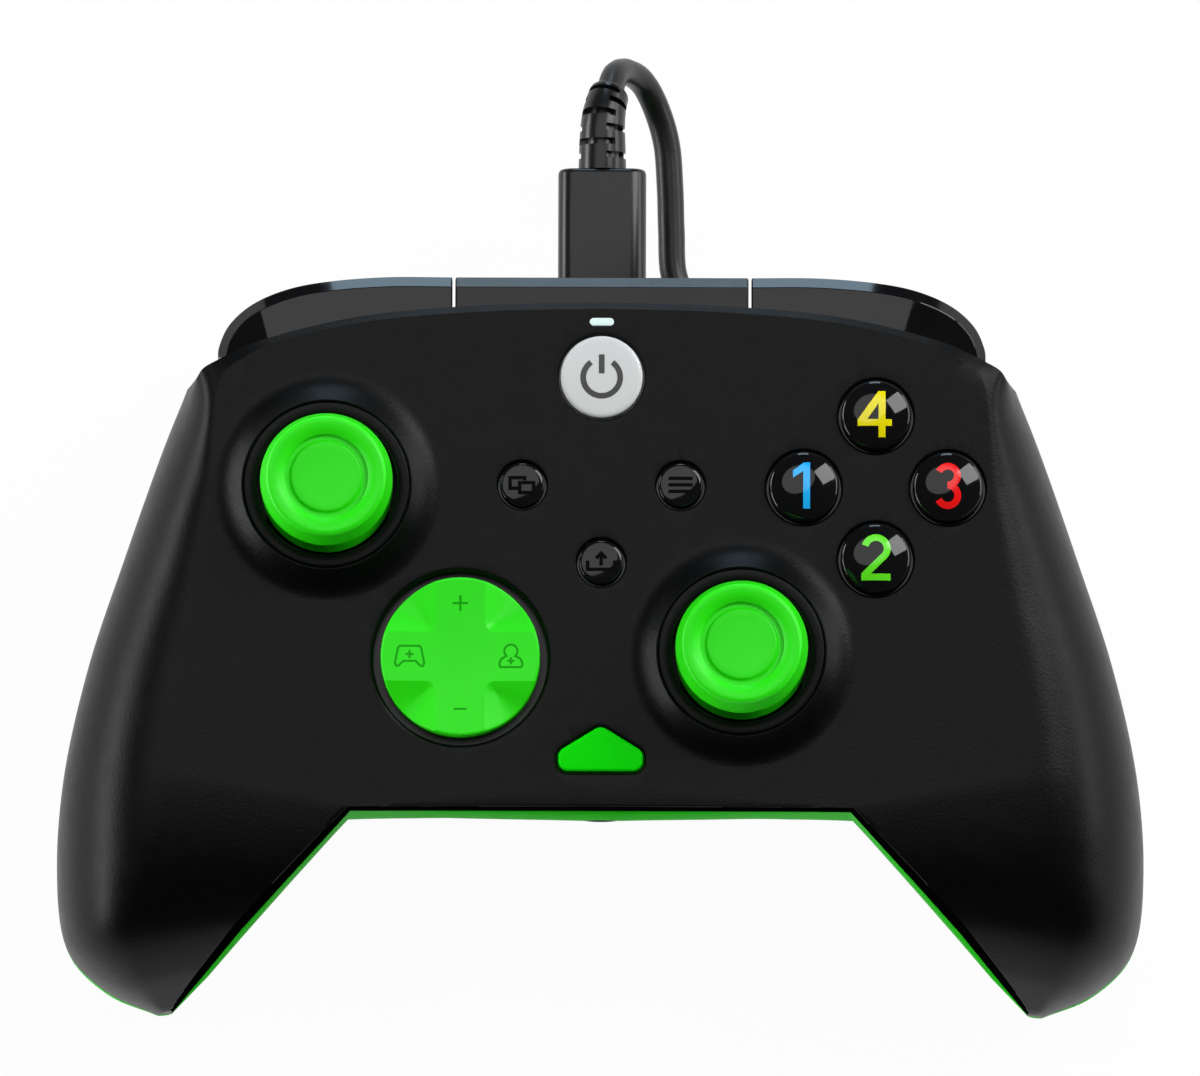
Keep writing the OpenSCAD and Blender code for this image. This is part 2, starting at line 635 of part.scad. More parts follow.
module bumper_switches() {
    color(steel) for (side = [-1, 1]) turned(side) {
        translate([switch_x, notch_y, shelf_z + shelf_t]) cube([switch_w, switch_d, switch_h]);
        translate([switch_x + (switch_w - nub[0]) / 2, notch_y + switch_d - 0.1, shelf_z + shelf_t + 0.8])
            cube(nub);
    }
}

// Sweep of a round section along a list of points, ending flat
function along(pts, i) = let (d = pts[min(i + 1, len(pts) - 1)] - pts[max(i - 1, 0)]) d / norm(d);
module tube(pts, r, sides, lean) {
    last = len(pts) - 1;
    ring_pts = [for (i = [0:last]) let (
        t = along(pts, i),
        u = lean - (lean * t) * t,
        a = u / norm(u),
        b = cross(t, a)
    ) for (s = [0:sides - 1]) pts[i] + r * (cos(360 * s / sides) * a + sin(360 * s / sides) * b)];
    wall_faces = [for (i = [0:last - 1], s = [0:sides - 1]) let (
        p = i * sides + s,
        q = i * sides + (s + 1) % sides
    ) each [[p, q + sides, q], [p, p + sides, q + sides]]];
    start = [for (s = [1:sides - 2]) [0, s, s + 1]];
    finish = [for (s = [1:sides - 2]) [last * sides, last * sides + s + 1, last * sides + s]];
    polyhedron(ring_pts, concat(wall_faces, start, finish), convexity = 20);
}

// Return springs of the triggers, wound round their pins
spring_wire = 0.35;
spring_step = 1.1;
spring_curls = 3;
curl_rings = 8;
module trigger_spring(side) {
    r = pin_r + spring_wire + 0.2;
    x0 = trigger_x + trigger_w - spring_room + 0.7;
    pts = [for (n = [0:spring_curls * curl_rings]) let (a = 360 * n / curl_rings) [
        x0 + spring_step * n / curl_rings, trigger_pin_y + r * cos(a), trigger_pin_z + r * sin(a)
    ]];
    color(steel) turned(side) tube(pts, spring_wire, 6, [1, 0, 0]);
}
module left_trigger_spring() { trigger_spring(-1); }
module right_trigger_spring() { trigger_spring(1); }

// Sticks: wear ring, base, gimbal, sleeve, post and cap, each turned about the pivot
module stick_ring(p) {
    color(gloss) at(p) rotate_extrude() polygon([
        [ring_bore, face_z - 0.9], [ring_r - 0.5, face_z - 0.9], [ring_r - 0.5, under_face - 1],
        [ring_r + 1.2, under_face - 1], [ring_r + 1.2, under_face], [ring_r, under_face],
        [ring_r, face_z + collar_h - 0.6], [ring_r - 0.5, face_z + collar_h - 0.3],
        [ring_bore + 0.6, face_z + 0.6], [ring_bore, face_z + 0.2]
    ]);
}
module left_stick_ring() { stick_ring(left_stick); }
module right_stick_ring() { stick_ring(right_stick); }

base_h = 9.2;
base_wall = 1.3;
gimbal_pin_r = 1;
sleeve_pin_r = 0.9;
gimbal_x = 11.6;
gimbal_y = 9;
gimbal_t = 3;
gimbal_wall = 1.4;
sleeve_r = post_r + 0.9;
module stick_base(p) {
    color(steel) at(p) difference() {
        translate([-base_w / 2, -base_w / 2, board_top]) cube([base_w, base_w, base_h]);
        translate([-base_w / 2 + base_wall, -base_w / 2 + base_wall, board_top + 1])
            cube([base_w - 2 * base_wall, base_w - 2 * base_wall, base_h]);
        rod_x(gimbal_pin_r + run_gap, -base_w, base_w, 0, pivot_z);
    }
}
module left_stick_base() { stick_base(left_stick); }
module right_stick_base() { stick_base(right_stick); }
module stick_gimbal(p) {
    color(grey) at(p, pivot_z) difference() {
        union() {
            cube([gimbal_x, gimbal_y, gimbal_t], center = true);
            rod_x(gimbal_pin_r, -base_w / 2 + 0.2, base_w / 2 - 0.2, 0, 0);
        }
        cube([gimbal_x - 2 * gimbal_wall, gimbal_y - 2 * gimbal_wall, gimbal_t + 1], center = true);
        rod_y(sleeve_pin_r + run_gap, -gimbal_y, gimbal_y, 0, 0);
    }
}
module left_stick_gimbal() { stick_gimbal(left_stick); }
module right_stick_gimbal() { stick_gimbal(right_stick); }
module stick_sleeve(p) {
    color(black) at(p, pivot_z) difference() {
        union() {
            translate([0, 0, -gimbal_t / 2]) cylinder(r = sleeve_r, h = gimbal_t);
            rod_y(sleeve_pin_r, -gimbal_y / 2, gimbal_y / 2, 0, 0);
        }
        translate([0, 0, -gimbal_t]) cylinder(r = post_r + run_gap, h = 2 * gimbal_t);
    }
}
module left_stick_sleeve() { stick_sleeve(left_stick); }
module right_stick_sleeve() { stick_sleeve(right_stick); }
post_seat = 2.2;
module stick_post(p) {
    low = pivot_z - gimbal_t / 2 - 1.9;
    color(grey) at(p, low) cylinder(r = post_r, h = cap_z + post_seat - low - 0.1);
}
module left_stick_post() { stick_post(left_stick); }
module right_stick_post() { stick_post(right_stick); }
neck_r = 4;
skirt_t = 1.2;
skirt_turn = 47;
module stick_cap(p) {
    neck_turn = asin(neck_r / skirt_r) - 2;
    outer = [for (a = [neck_turn:5:skirt_turn]) skirt_r * [sin(a), cos(a)]];
    inner = [for (n = [len(outer) - 1:-1:0]) outer[n] * (skirt_r - skirt_t) / skirt_r];
    color(green) at(p) difference() {
        union() {
            translate([0, 0, cap_z]) rotate_extrude() polygon([
                [0, 0], [cap_r - 0.7, 0], [cap_r - 0.15, 0.35], [cap_r, 0.9], [cap_r, 1.5],
                [cap_r - 0.35, 2.4], [cap_r - 0.8, cap_h - 1], [cap_r - 1.1, cap_h - 0.3],
                [cap_r - 1.6, cap_h], [cap_r - 2.2, cap_h - 0.15], [cap_r - 3.6, cap_h - 1.1],
                [cap_r - 4.4, cap_h - 1.4], [cap_r - 4.6, cap_h - 1.8], [cap_r - 5, cap_h - 1.7],
                [cap_r - 7, cap_h - 2], [0, cap_h - 2.1]
            ]);
            translate([0, 0, pivot_z]) rotate_extrude() polygon(concat(outer, inner));
            translate([0, 0, pivot_z + skirt_r * cos(neck_turn) - skirt_t - 0.2])
                cylinder(r = neck_r, h = cap_z - pivot_z - skirt_r * cos(neck_turn) + skirt_t + 0.4);
        }
        translate([0, 0, pivot_z]) cylinder(r = post_r + 0.01, h = cap_z + post_seat - pivot_z);
    }
}
module left_stick_cap() { stick_cap(left_stick); }
module right_stick_cap() { stick_cap(right_stick); }

// Direction pad on its rocker
dpad_pivot_z = face_z - 6;
dpad_body_t = 6.4;
dpad_flange_r = dpad_r + 1.75;
dpad_flange_top = under_face - 1.6;
dpad_stub_r = 7.4;
rocker_r = 2.2;
rocker_h = 3;
rocker_z = dpad_pivot_z - rocker_h / 2 - 1;
module dpad() {
    top = face_z + dpad_lift;
    low = dpad_flange_top - 1.3;
    color(green) at(pad_place) difference() {
        union() {
            translate([0, 0, low]) cylinder(r = dpad_r, h = top - dpad_scoop - low);
            translate([0, 0, low]) cylinder(r = dpad_flange_r, h = 1.3);
            intersection() {
                translate([0, 0, low]) cylinder(r = dpad_r, h = top - low);
                union() {
                    translate([-dpad_r, -dpad_arm_w / 2, low]) cube([2 * dpad_r, dpad_arm_w, top]);
                    translate([-dpad_arm_w / 2, -dpad_r, low]) cube([dpad_arm_w, 2 * dpad_r, top]);
                }
            }
            for (a = [0:90:270])
                rotate(a) translate([dpad_stub_r, 0, dome_z]) cylinder(r = 1.4, h = low - dome_z + 0.1);
        }
        translate([0, 0, low - 1]) cylinder(r = rocker_r + gap, h = rocker_z + rocker_h - low + 1 + gap);
    }
}
module dpad_rocker() {
    color(black) at(pad_place, rocker_z) cylinder(r = rocker_r, h = rocker_h);
}

// Face buttons and the flat buttons, each with a flange and a stem
button_stem_r = 2.4;
module stem(p, flange_r, stem_place, stem_r) {
    at(p, flange_top - flange_t) cylinder(r = flange_r, h = flange_t);
    at(stem_place, dome_z) cylinder(r = stem_r, h = flange_top - flange_t - dome_z + 0.1);
}
module face_button(turn) {
    p = cluster + face_button_step * [cos(turn), sin(turn)];
    dome_h = 1.4;
    ball_r = (face_button_r * face_button_r + dome_h * dome_h) / (2 * dome_h);
    top = face_z + face_button_lift;
    color(gloss) {
        at(p) intersection() {
            translate([0, 0, flange_top - flange_t])
                cylinder(r = face_button_r, h = top - flange_top + flange_t);
            translate([0, 0, top - ball_r]) sphere(ball_r, $fn = 96);
        }
        stem(p, face_button_r + flange_w, p, button_stem_r);
    }
}
module top_button() { face_button(90); }
module left_button() { face_button(180); }
module right_button() { face_button(0); }
module bottom_button() { face_button(270); }
module flat_button(p, r) {
    at(p, flange_top - flange_t) cylinder(r = r, h = face_z + flat_lift - flange_top + flange_t);
}
home_stem_y = home_y - 2.5;
module home_button() {
    color(grey) {
        flat_button(home_place, home_r);
        stem(home_place, home_r + flange_w, [0, home_stem_y], button_stem_r);
    }
}
module small_button(p) {
    color(gloss) {
        flat_button(p, small_r);
        stem(p, small_r + flange_w, p, button_stem_r - 0.6);
    }
}
module view_button() { small_button([-small_x, small_y]); }
module menu_button() { small_button([small_x, small_y]); }
module share_button() { small_button([0, share_y]); }
function_stem_x = 4.8;
function_stem_r = 1.2;
module function_button() {
    color(green) {
        at(function_place, flange_top - flange_t)
            linear_extrude(face_z + flat_lift - flange_top + flange_t) function_outline(0);
        at(function_place, flange_top - flange_t) linear_extrude(flange_t) function_outline(flange_w);
        for (x = [-function_stem_x, function_stem_x])
            at(function_place + [x, -1.5], dome_z)
                cylinder(r = function_stem_r, h = flange_top - flange_t - dome_z + 0.1);
    }
}
module status_light() {
    color(grey) translate([0, light_y, under_face - 1]) linear_extrude(wall + 1.1)
        rounded_square([light_w, light_d], light_d / 2 - 0.01);
}

// Board, rubber pads and what is soldered to the board
jack_w = 6.2;
jack_y = bottom_y + wall + wall_lean;
jack_l = 10.5;
board_outline_half = [
    [24.5, 39], [25, notch_y - 2.6], [48, notch_y - 3.2], [50, 24], [49, 9], [37, -7], [27, jack_y + 0.3]
];
module main_board() {
    last = len(board_outline_half) - 1;
    left_half = [for (n = [last:-1:0]) [-board_outline_half[n][0], board_outline_half[n][1]]];
    color(board_green) difference() {
        translate([0, 0, board_low]) linear_extrude(board_t) polygon(concat(board_outline_half, left_half));
        for (p = shell_screw_places)
            at(p, board_low - 1) cylinder(r = boss_r + gap, h = board_t + 2);
        for (p = board_screw_places)
            at(p, board_low - 1) cylinder(r = board_screw_r + 0.1, h = board_t + 2);
    }
}
dome_flare = 0.5;
pad_strip_w = 4;
module dome(p, r) {
    at(p, board_top) cylinder(r1 = r + dome_flare, r2 = r, h = dome_z - board_top);
}
module face_pad() {
    color(rubber) {
        at(cluster, board_top) cylinder(r = pad_strip_w / 2, h = pad_t);
        for (a = [0:90:270]) {
            p = cluster + face_button_step * [cos(a), sin(a)];
            at(cluster, board_top) rotate(a) translate([0, -pad_strip_w / 2])
                cube([face_button_step, pad_strip_w, pad_t]);
            at(p, board_top) cylinder(r = button_stem_r + 0.8, h = pad_t);
            dome(p, button_stem_r + 0.4);
        }
    }
}
module centre_pad() {
    post_room = post_boss_r + gap;
    color(rubber) difference() {
        union() {
            translate([-small_x - 3.5, share_y - 3.5, board_top])
                cube([2 * small_x + 7, home_stem_y - share_y + 6.5, pad_t]);
            translate([-6.4, jack_y + 0.4, board_top]) cube([12.8, share_y - jack_y - 1, pad_t]);
            for (x = [-small_x, small_x]) dome([x, small_y], button_stem_r - 0.4);
            dome([0, share_y], button_stem_r - 0.4);
            dome([0, home_stem_y], button_stem_r + 0.4);
            for (x = [-function_stem_x, function_stem_x])
                dome(function_place + [x, -1.5], function_stem_r - 0.1);
        }
        at(shell_screw_places[4], board_top - 1) cylinder(r = post_room, h = dome_z - board_top + 2);
        translate([-jack_w / 2 - gap, bottom_y, board_top - 1])
            cube([jack_w + 2 * gap, jack_y + jack_l - bottom_y + gap, dome_z - board_top + 2]);
    }
}
dpad_pad_edge = 2.6;
module dpad_pad() {
    color(rubber) at(pad_place) {
        translate([0, 0, board_top]) cylinder(r = dpad_stub_r + dpad_pad_edge, h = pad_t);
        translate([0, 0, board_top]) cylinder(r = rocker_r, h = rocker_z - board_top - gap);
        for (a = [0:90:270]) rotate(a) dome([dpad_stub_r, 0], 1.5);
    }
}
module usb_socket() {
    color(steel) difference() {
        bar_y([socket_w, socket_h], 1.2, socket_end_y - 8, socket_end_y, plug_z);
        bar_y([socket_w - 0.5, socket_h - 0.7], 1, socket_end_y - 6.4, socket_end_y + 1, plug_z);
    }
}
module headset_jack() {
    color(gloss) difference() {
        union() {
            translate([-jack_w / 2, jack_y, board_top]) cube([jack_w, jack_l, 2 * jack_lift]);
            rod_y(jack_nose_r, bottom_y + 0.3, jack_y + 1, 0, jack_z);
        }
        rod_y(jack_r, bottom_y - 1, jack_y + jack_l - 1.5, 0, jack_z);
    }
}
module screw(r, head_r, l, head_t) {
    cylinder(r = r, h = l);
    translate([0, 0, -head_t]) cylinder(r = head_r, h = head_t);
}
module shell_screws() {
    color(steel) for (p = shell_screw_places) at(p, p[2]) screw(screw_r, screw_head_r, shell_screw_l, 1.6);
}
module board_screws() {
    color(steel) for (p = board_screw_places)
        at(p, board_top) mirror([0, 0, 1]) screw(board_screw_r, board_screw_r + 0.9, board_screw_l, 1);
}

// Rumble motors in the grips, each with an off-centre weight
motor_shaft_r = 1;
weight_t = 4.8;
weight_y = motor_y + motor_l + 0.6;
module rumble_motor(side) {
    color(steel) turned(side) {
        rod_y(motor_r, motor_y, motor_y + motor_l, motor_at, motor_z);
        rod_y(motor_shaft_r, motor_y + motor_l - 1, weight_y + weight_t + 0.4, motor_at, motor_z);
    }
}
module left_rumble_motor() { rumble_motor(-1); }
module right_rumble_motor() { rumble_motor(1); }
module rumble_weight(side) {
    color(steel) turned(side) difference() {
        union() {
            intersection() {
                rod_y(weight_r, weight_y, weight_y + weight_t, motor_at, motor_z);
                translate([motor_at - weight_r, weight_y, motor_z - weight_r])
                    cube([2 * weight_r, weight_t, weight_r]);
            }
            rod_y(motor_shaft_r + 1.4, weight_y, weight_y + weight_t, motor_at, motor_z);
        }
        rod_y(motor_shaft_r + run_gap, weight_y - 1, weight_y + weight_t + 1, motor_at, motor_z);
    }
}
module left_rumble_weight() { rumble_weight(-1); }
module right_rumble_weight() { rumble_weight(1); }

// Cable: near plug, strain relief, free run, coil, tail and far plug
tongue_w = 8.25;
tongue_h = 2.35;
module usb_plug() {
    color(gloss) {
        bar_y([plug_w, plug_h], 2, mouth_y + 0.4, plug_end_y, plug_z);
        bar_y([tongue_w, tongue_h], 0.9, socket_end_y - 6, mouth_y + 1, plug_z);
    }
}
relief_straight = 5;
relief_bend = 10.2;
relief_turn = 38;
relief_tilt = 28.1;
relief_r = 3.35;
relief_ribs = 3;
module plug_relief() {
    hole_r = cable_d / 2;
    rib_turn = relief_turn / relief_ribs;
    color(gloss) translate([0, plug_end_y, plug_z]) rotate([0, -relief_tilt, 0]) {
        rod_y(relief_r, 0, 1.6, 0, 0);
        rod_y(hole_r + 0.5, 0, relief_straight, 0, 0);
        rod_y(relief_r, 2.8, 4.4, 0, 0);
        translate([0, relief_straight, -relief_bend]) rotate([0, -90, 0]) {
            rotate_extrude(angle = relief_turn) translate([relief_bend, 0]) circle(hole_r + 0.5);
            for (n = [0:relief_ribs - 1]) rotate(n * rib_turn + rib_turn * 0.35)
                rotate_extrude(angle = rib_turn * 0.6) translate([relief_bend, 0]) circle(relief_r - 0.2 * n);
        }
    }
}
cable_r = cable_d / 2;
// Points of the free run, from the strain relief down under the body to the coil
run_points = [
    [1.0, 78.5, 31.7], [1.75, 81.3, 28.8], [3.3, 82.4, 24.6], [5.6, 81.5, 20.4], [7.6, 78.2, 17.1],
    [9.1, 73.2, 15.6], [9.6, 67.0, 15.2], [9.8, 61.0, 15.0], [10.2, 54.6, 14.9], [12.6, 50.2, 14.9],
    [17.7, 45.8, 15.0], [24.4, 38.2, 15.3], [30.1, 30.6, 15.6], [32.2, 26.5, 15.6], [32.4, 23.0, 15.6]
];
// Points of the tail, from the coil to the far plug
tail_points = [
    [22.0, 43.2, 2.9], [26.0, 40.4, 3.0], [31.0, 36.6, 3.8], [35.4, 32.4, 5.4], [38.1, 28.2, 7.0],
    [39.0, 24.6, 7.8], [39.0, 21.0, 7.9]
];
run_lean = [0.9, 0, 0.5];
module cable_run() {
    line = concat(through(run_points, 3), [run_points[len(run_points) - 1]]);
    color(black) tube(line, cable_r, 8, run_lean);
}
module cable_tail() {
    line = concat(through(tail_points, 3), [tail_points[len(tail_points) - 1]]);
    color(black) tube(line, cable_r, 8, [0, 0, 1]);
}

// Coil: four layers of a spiral, wound down from the top, in and out in turn
coil_place = [0, 19];
coil_z = 2.9;
loop_rings = 24;
coil_lead = 4;
coil_block = coil_turns + 0.5;
coil_total = 4 * coil_turns + 1.5;
coil_out = coil_in + coil_step * coil_turns;
function coil_point(a) = let (
    k = min(floor(a / coil_block), 3),
    f = a - k * coil_block,
    inward = k % 2 == 0,
    in_turns = min(f, coil_turns),
    r = inward ? coil_out - coil_step * in_turns : coil_in + coil_step * in_turns,
    drop = max(0, f - coil_turns) * 2,
    z = coil_z + coil_layer * (3 - k - drop),
    turn = -360 * a
) [coil_place[0] + r * cos(turn), coil_place[1] + r * sin(turn), z];
coil_rings = floor(coil_total * loop_rings);
coil_middle = [for (n = [0:coil_rings]) coil_point(coil_total * n / coil_rings)];
coil_end_turn = -360 * coil_total;
coil_start = coil_middle[0] + [0, coil_lead, 0];
coil_finish = coil_middle[coil_rings] + coil_lead * [sin(coil_end_turn), -cos(coil_end_turn), 0];
coil_points = concat([coil_start], coil_middle, [coil_finish]);
function nearest(i) = min([
    for (j = [i + loop_rings / 2:len(coil_points) - 1]) norm(coil_points[i] - coil_points[j])
]);
coil_gap = min([for (i = [0:len(coil_points) - 1 - loop_rings]) nearest(i)]) - cable_d;
echo(str("least gap between turns of the coil: ", coil_gap));
module cable_coil() {
    color(black) tube(coil_points, cable_r, 6, [0, 0, 1]);
}
tie_t = 0.8;
tie_w = 8;
tie_gap = 0.4;
module cable_tie() {
    x0 = coil_place[0] - coil_out - cable_r - tie_gap;
    x1 = coil_place[0] - coil_in + cable_r + tie_gap;
    z0 = coil_z - cable_r - tie_gap / 2;
    z1 = coil_z + 3 * coil_layer + cable_r + tie_gap;
    color(gloss) translate([0, coil_place[1] - tie_w / 2, 0]) difference() {
        translate([x0 - tie_t, 0, z0 - tie_t]) cube([x1 - x0 + 2 * tie_t, tie_w, z1 - z0 + 2 * tie_t]);
        translate([x0, -1, z0]) cube([x1 - x0, tie_w + 2, z1 - z0]);
    }
}
// Far plug, lying on its side beside the coil
far_x = 39;
far_z = 7.95;
far_y = 21;
module far_plug() {
    translate([far_x, 0, 0]) {
        color(gloss) {
            rod_y(cable_r + 0.9, far_y - 7, far_y, 0, far_z);
            rod_y(cable_r + 1.6, far_y - 7.5, far_y - 3.5, 0, far_z);
            bar_y([8, 15.8], 1.6, far_y - 30, far_y - 7, far_z);
        }
        color(steel) difference() {
            bar_y([4.5, 12], 0.4, far_y - 41.5, far_y - 29.5, far_z);
            translate([-1.7, far_y - 42, far_z - 5.4]) cube([2, 9, 10.8]);
        }
    }
}

front_shell();
rear_shell();
top_bridge();
left_stick_ring();
right_stick_ring();
main_board();
face_pad();
centre_pad();
dpad_pad();
left_stick_base();
right_stick_base();
left_rumble_motor();
right_rumble_motor();
usb_socket();
headset_jack();
status_light();
shell_screws();
board_screws();
left_trigger_frame();
right_trigger_frame();
left_trigger_pin();
right_trigger_pin();
left_trigger_spring();
right_trigger_spring();
bumper_pins();
bumper_switches();
usb_plug();
plug_relief();
cable_run();
cable_coil();
cable_tail();
far_plug();
cable_tie();
left_trigger();
right_trigger();
left_bumper();
right_bumper();
left_stick_gimbal();
right_stick_gimbal();
left_stick_sleeve();
right_stick_sleeve();
left_stick_post();
right_stick_post();
left_stick_cap();
right_stick_cap();
dpad_rocker();
dpad();
top_button();
left_button();
right_button();
bottom_button();
home_button();
view_button();
menu_button();
share_button();
function_button();
left_rumble_weight();
right_rumble_weight();
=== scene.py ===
"""Wired gamepad controller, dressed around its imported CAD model. Sizes are in millimetres until a mesh is made."""

import json
import math

import bmesh
import bpy
import numpy as np
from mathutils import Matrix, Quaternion, Vector

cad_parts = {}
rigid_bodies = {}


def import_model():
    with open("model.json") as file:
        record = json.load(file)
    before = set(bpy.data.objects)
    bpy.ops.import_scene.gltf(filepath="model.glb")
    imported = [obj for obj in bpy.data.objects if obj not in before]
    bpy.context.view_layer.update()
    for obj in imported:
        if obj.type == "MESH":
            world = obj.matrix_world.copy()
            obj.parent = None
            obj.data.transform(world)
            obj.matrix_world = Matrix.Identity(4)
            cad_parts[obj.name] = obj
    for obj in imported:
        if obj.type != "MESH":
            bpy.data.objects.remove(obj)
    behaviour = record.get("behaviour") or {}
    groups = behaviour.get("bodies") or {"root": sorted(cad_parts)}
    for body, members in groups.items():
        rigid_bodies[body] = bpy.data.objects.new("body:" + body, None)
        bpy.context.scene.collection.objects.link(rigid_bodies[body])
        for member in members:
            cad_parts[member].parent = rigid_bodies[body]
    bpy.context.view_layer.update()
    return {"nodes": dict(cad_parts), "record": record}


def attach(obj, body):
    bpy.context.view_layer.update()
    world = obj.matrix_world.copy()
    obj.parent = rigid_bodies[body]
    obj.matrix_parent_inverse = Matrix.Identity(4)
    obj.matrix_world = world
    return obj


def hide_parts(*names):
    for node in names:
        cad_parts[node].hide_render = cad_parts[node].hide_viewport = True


for leftover in list(bpy.data.objects):
    bpy.data.objects.remove(leftover)
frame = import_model()
nodes = frame["nodes"]
scene = bpy.context.scene
MM = 0.001

# Camera: nearly overhead, a little from the user's side, with a long lens
PX_PER_MM = 7.12
IMAGE_W = 1200
SENSOR_W = 36
ELEVATION = math.radians(83.5)
DISTANCE = 4000.0
AIM = Vector((-0.17, 14.38, 40))
ROLL = math.radians(0.17)
back = Vector((0, -math.cos(ELEVATION), math.sin(ELEVATION)))
camera_data = bpy.data.cameras.new("camera")
camera_data.sensor_width = SENSOR_W
camera_data.lens = SENSOR_W * DISTANCE * PX_PER_MM / IMAGE_W
camera_data.clip_start, camera_data.clip_end = 0.01, 50
camera = bpy.data.objects.new("camera", camera_data)
camera.location = (AIM + back * DISTANCE) * MM
camera.rotation_mode = "QUATERNION"
camera.rotation_quaternion = (-back).to_track_quat("-Z", "Y") @ Quaternion((0, 0, 1), ROLL)
scene.collection.objects.link(camera)
scene.camera = camera


# Small tools

def mix(a, b, t):
    return a + (b - a) * t


def clamp(v, low=0.0, high=1.0):
    return max(low, min(high, v))


def ease(t):
    t = clamp(t)
    return t * t * (3 - 2 * t)


def spline(a, b, c, d, t):
    return 0.5 * (2 * b + (c - a) * t + (2 * a - 5 * b + 4 * c - d) * t * t + (3 * b - a - 3 * c + d) * t ** 3)


def through(points, steps):
    """A smooth line through the points, with so many steps between two of them."""
    p = [np.array(q, float) for q in points]
    line = []
    for k in range(len(p) - 1):
        a = p[k - 1] if k else 2 * p[0] - p[1]
        d = p[k + 2] if k + 2 < len(p) else 2 * p[k + 1] - p[k]
        line += [spline(a, p[k], p[k + 1], d, s / steps) for s in range(steps)]
    return line + [p[-1]]


def new_mesh(name, verts, faces):
    mesh = bpy.data.meshes.new(name)
    mesh.from_pydata([tuple(float(c) * MM for c in v) for v in verts], [], [tuple(f) for f in faces])
    mesh.validate()
    obj = bpy.data.objects.new(name, mesh)
    scene.collection.objects.link(obj)
    return obj


def outward(obj):
    work = bmesh.new()
    work.from_mesh(obj.data)
    bmesh.ops.remove_doubles(work, verts=work.verts, dist=1e-7)
    bmesh.ops.recalc_face_normals(work, faces=work.faces)
    work.to_mesh(obj.data)
    work.free()
    return obj


def bake(obj):
    """Applies the object's modifiers to its mesh."""
    graph = bpy.context.evaluated_depsgraph_get()
    mesh = bpy.data.meshes.new_from_object(obj.evaluated_get(graph))
    obj.modifiers.clear()
    obj.data = mesh
    return obj


def combine(obj, others, operation):
    for other in others:
        step = obj.modifiers.new("cut", "BOOLEAN")
        step.operation = operation
        step.solver = "MANIFOLD"
        step.object = other
    bake(obj)
    for other in others:
        bpy.data.objects.remove(other)
    return obj


def bevel(obj, width, segments=3, angle=35):
    step = obj.modifiers.new("bevel", "BEVEL")
    step.width = width * MM
    step.segments = segments
    step.limit_method = "ANGLE"
    step.angle_limit = math.radians(angle)
    step.miter_outer = "MITER_ARC"
    return bake(obj)


def finish_piece(obj, body, material, slot, *replaced, angle=32):
    obj.data.materials.clear()
    obj.data.materials.append(material)
    for face in obj.data.polygons:
        face.use_smooth = True
        face.material_index = 0
    obj.data.set_sharp_from_angle(angle=math.radians(angle))
    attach(obj, body)
    if replaced:
        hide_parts(*replaced)
    return obj


def revolve(name, profile, place=(0, 0), steps=96):
    """A solid turned from (radius, height) points, listed from the lower middle out and up to the upper middle."""
    verts, rings = [], []
    for r, z in profile:
        if r < 1e-6:
            rings.append([len(verts)])
            verts.append((place[0], place[1], z))
        else:
            rings.append(list(range(len(verts), len(verts) + steps)))
            for s in range(steps):
                a = 2 * math.pi * s / steps
                verts.append((place[0] + r * math.cos(a), place[1] + r * math.sin(a), z))
    closed = len(rings[0]) > 1
    faces = []
    pairs = list(zip(rings, rings[1:] + rings[:1])) if closed else list(zip(rings, rings[1:]))
    for low, high in pairs:
        for s in range(steps):
            t = (s + 1) % steps
            if len(low) == 1:
                faces.append((low[0], high[t], high[s]))
            elif len(high) == 1:
                faces.append((low[s], low[t], high[0]))
            else:
                faces.append((low[s], low[t], high[t], high[s]))
    return outward(new_mesh(name, verts, faces))


def sweep(name, loops, closed_ends=True):
    """A skin over a list of loops of points, all of one length."""
    count = len(loops[0])
    verts = [p for loop in loops for p in loop]
    faces = []
    for i in range(len(loops) - 1):
        for s in range(count):
            t = (s + 1) % count
            faces.append((i * count + s, i * count + t, (i + 1) * count + t, (i + 1) * count + s))
    if closed_ends:
        faces.append(tuple(range(count - 1, -1, -1)))
        faces.append(tuple((len(loops) - 1) * count + s for s in range(count)))
    return outward(new_mesh(name, verts, faces))


def frames_along(points, lean):
    """For each point of a line: the point, and two directions square to the line."""
    p = [np.array(q, float) for q in points]
    out = []
    for i in range(len(p)):
        t = p[min(i + 1, len(p) - 1)] - p[max(i - 1, 0)]
        t /= np.linalg.norm(t)
        u = np.array(lean, float) - np.dot(lean, t) * t
        u /= np.linalg.norm(u)
        out.append((p[i], u, np.cross(t, u)))
    return out


def rounded_rect(w, h, r, steps=6):
    points = []
    for cx, cy, start in ((w / 2 - r, h / 2 - r, 0), (-w / 2 + r, h / 2 - r, 90),
                          (-w / 2 + r, -h / 2 + r, 180), (w / 2 - r, -h / 2 + r, 270)):
        for s in range(steps + 1):
            a = math.radians(start + 90 * s / steps)
            points.append((cx + r * math.cos(a), cy + r * math.sin(a)))
    return points


def fine(line, closed, step=0.3):
    """The line with more points, none farther apart than the step."""
    p = [np.array(q, float) for q in line]
    out = []
    for i in range(len(p) if closed else len(p) - 1):
        a, b = p[i], p[(i + 1) % len(p)]
        n = max(1, math.ceil(np.linalg.norm(b - a) / step))
        out += [mix(a, b, s / n) for s in range(n)]
    return out if closed else out + [p[-1]]


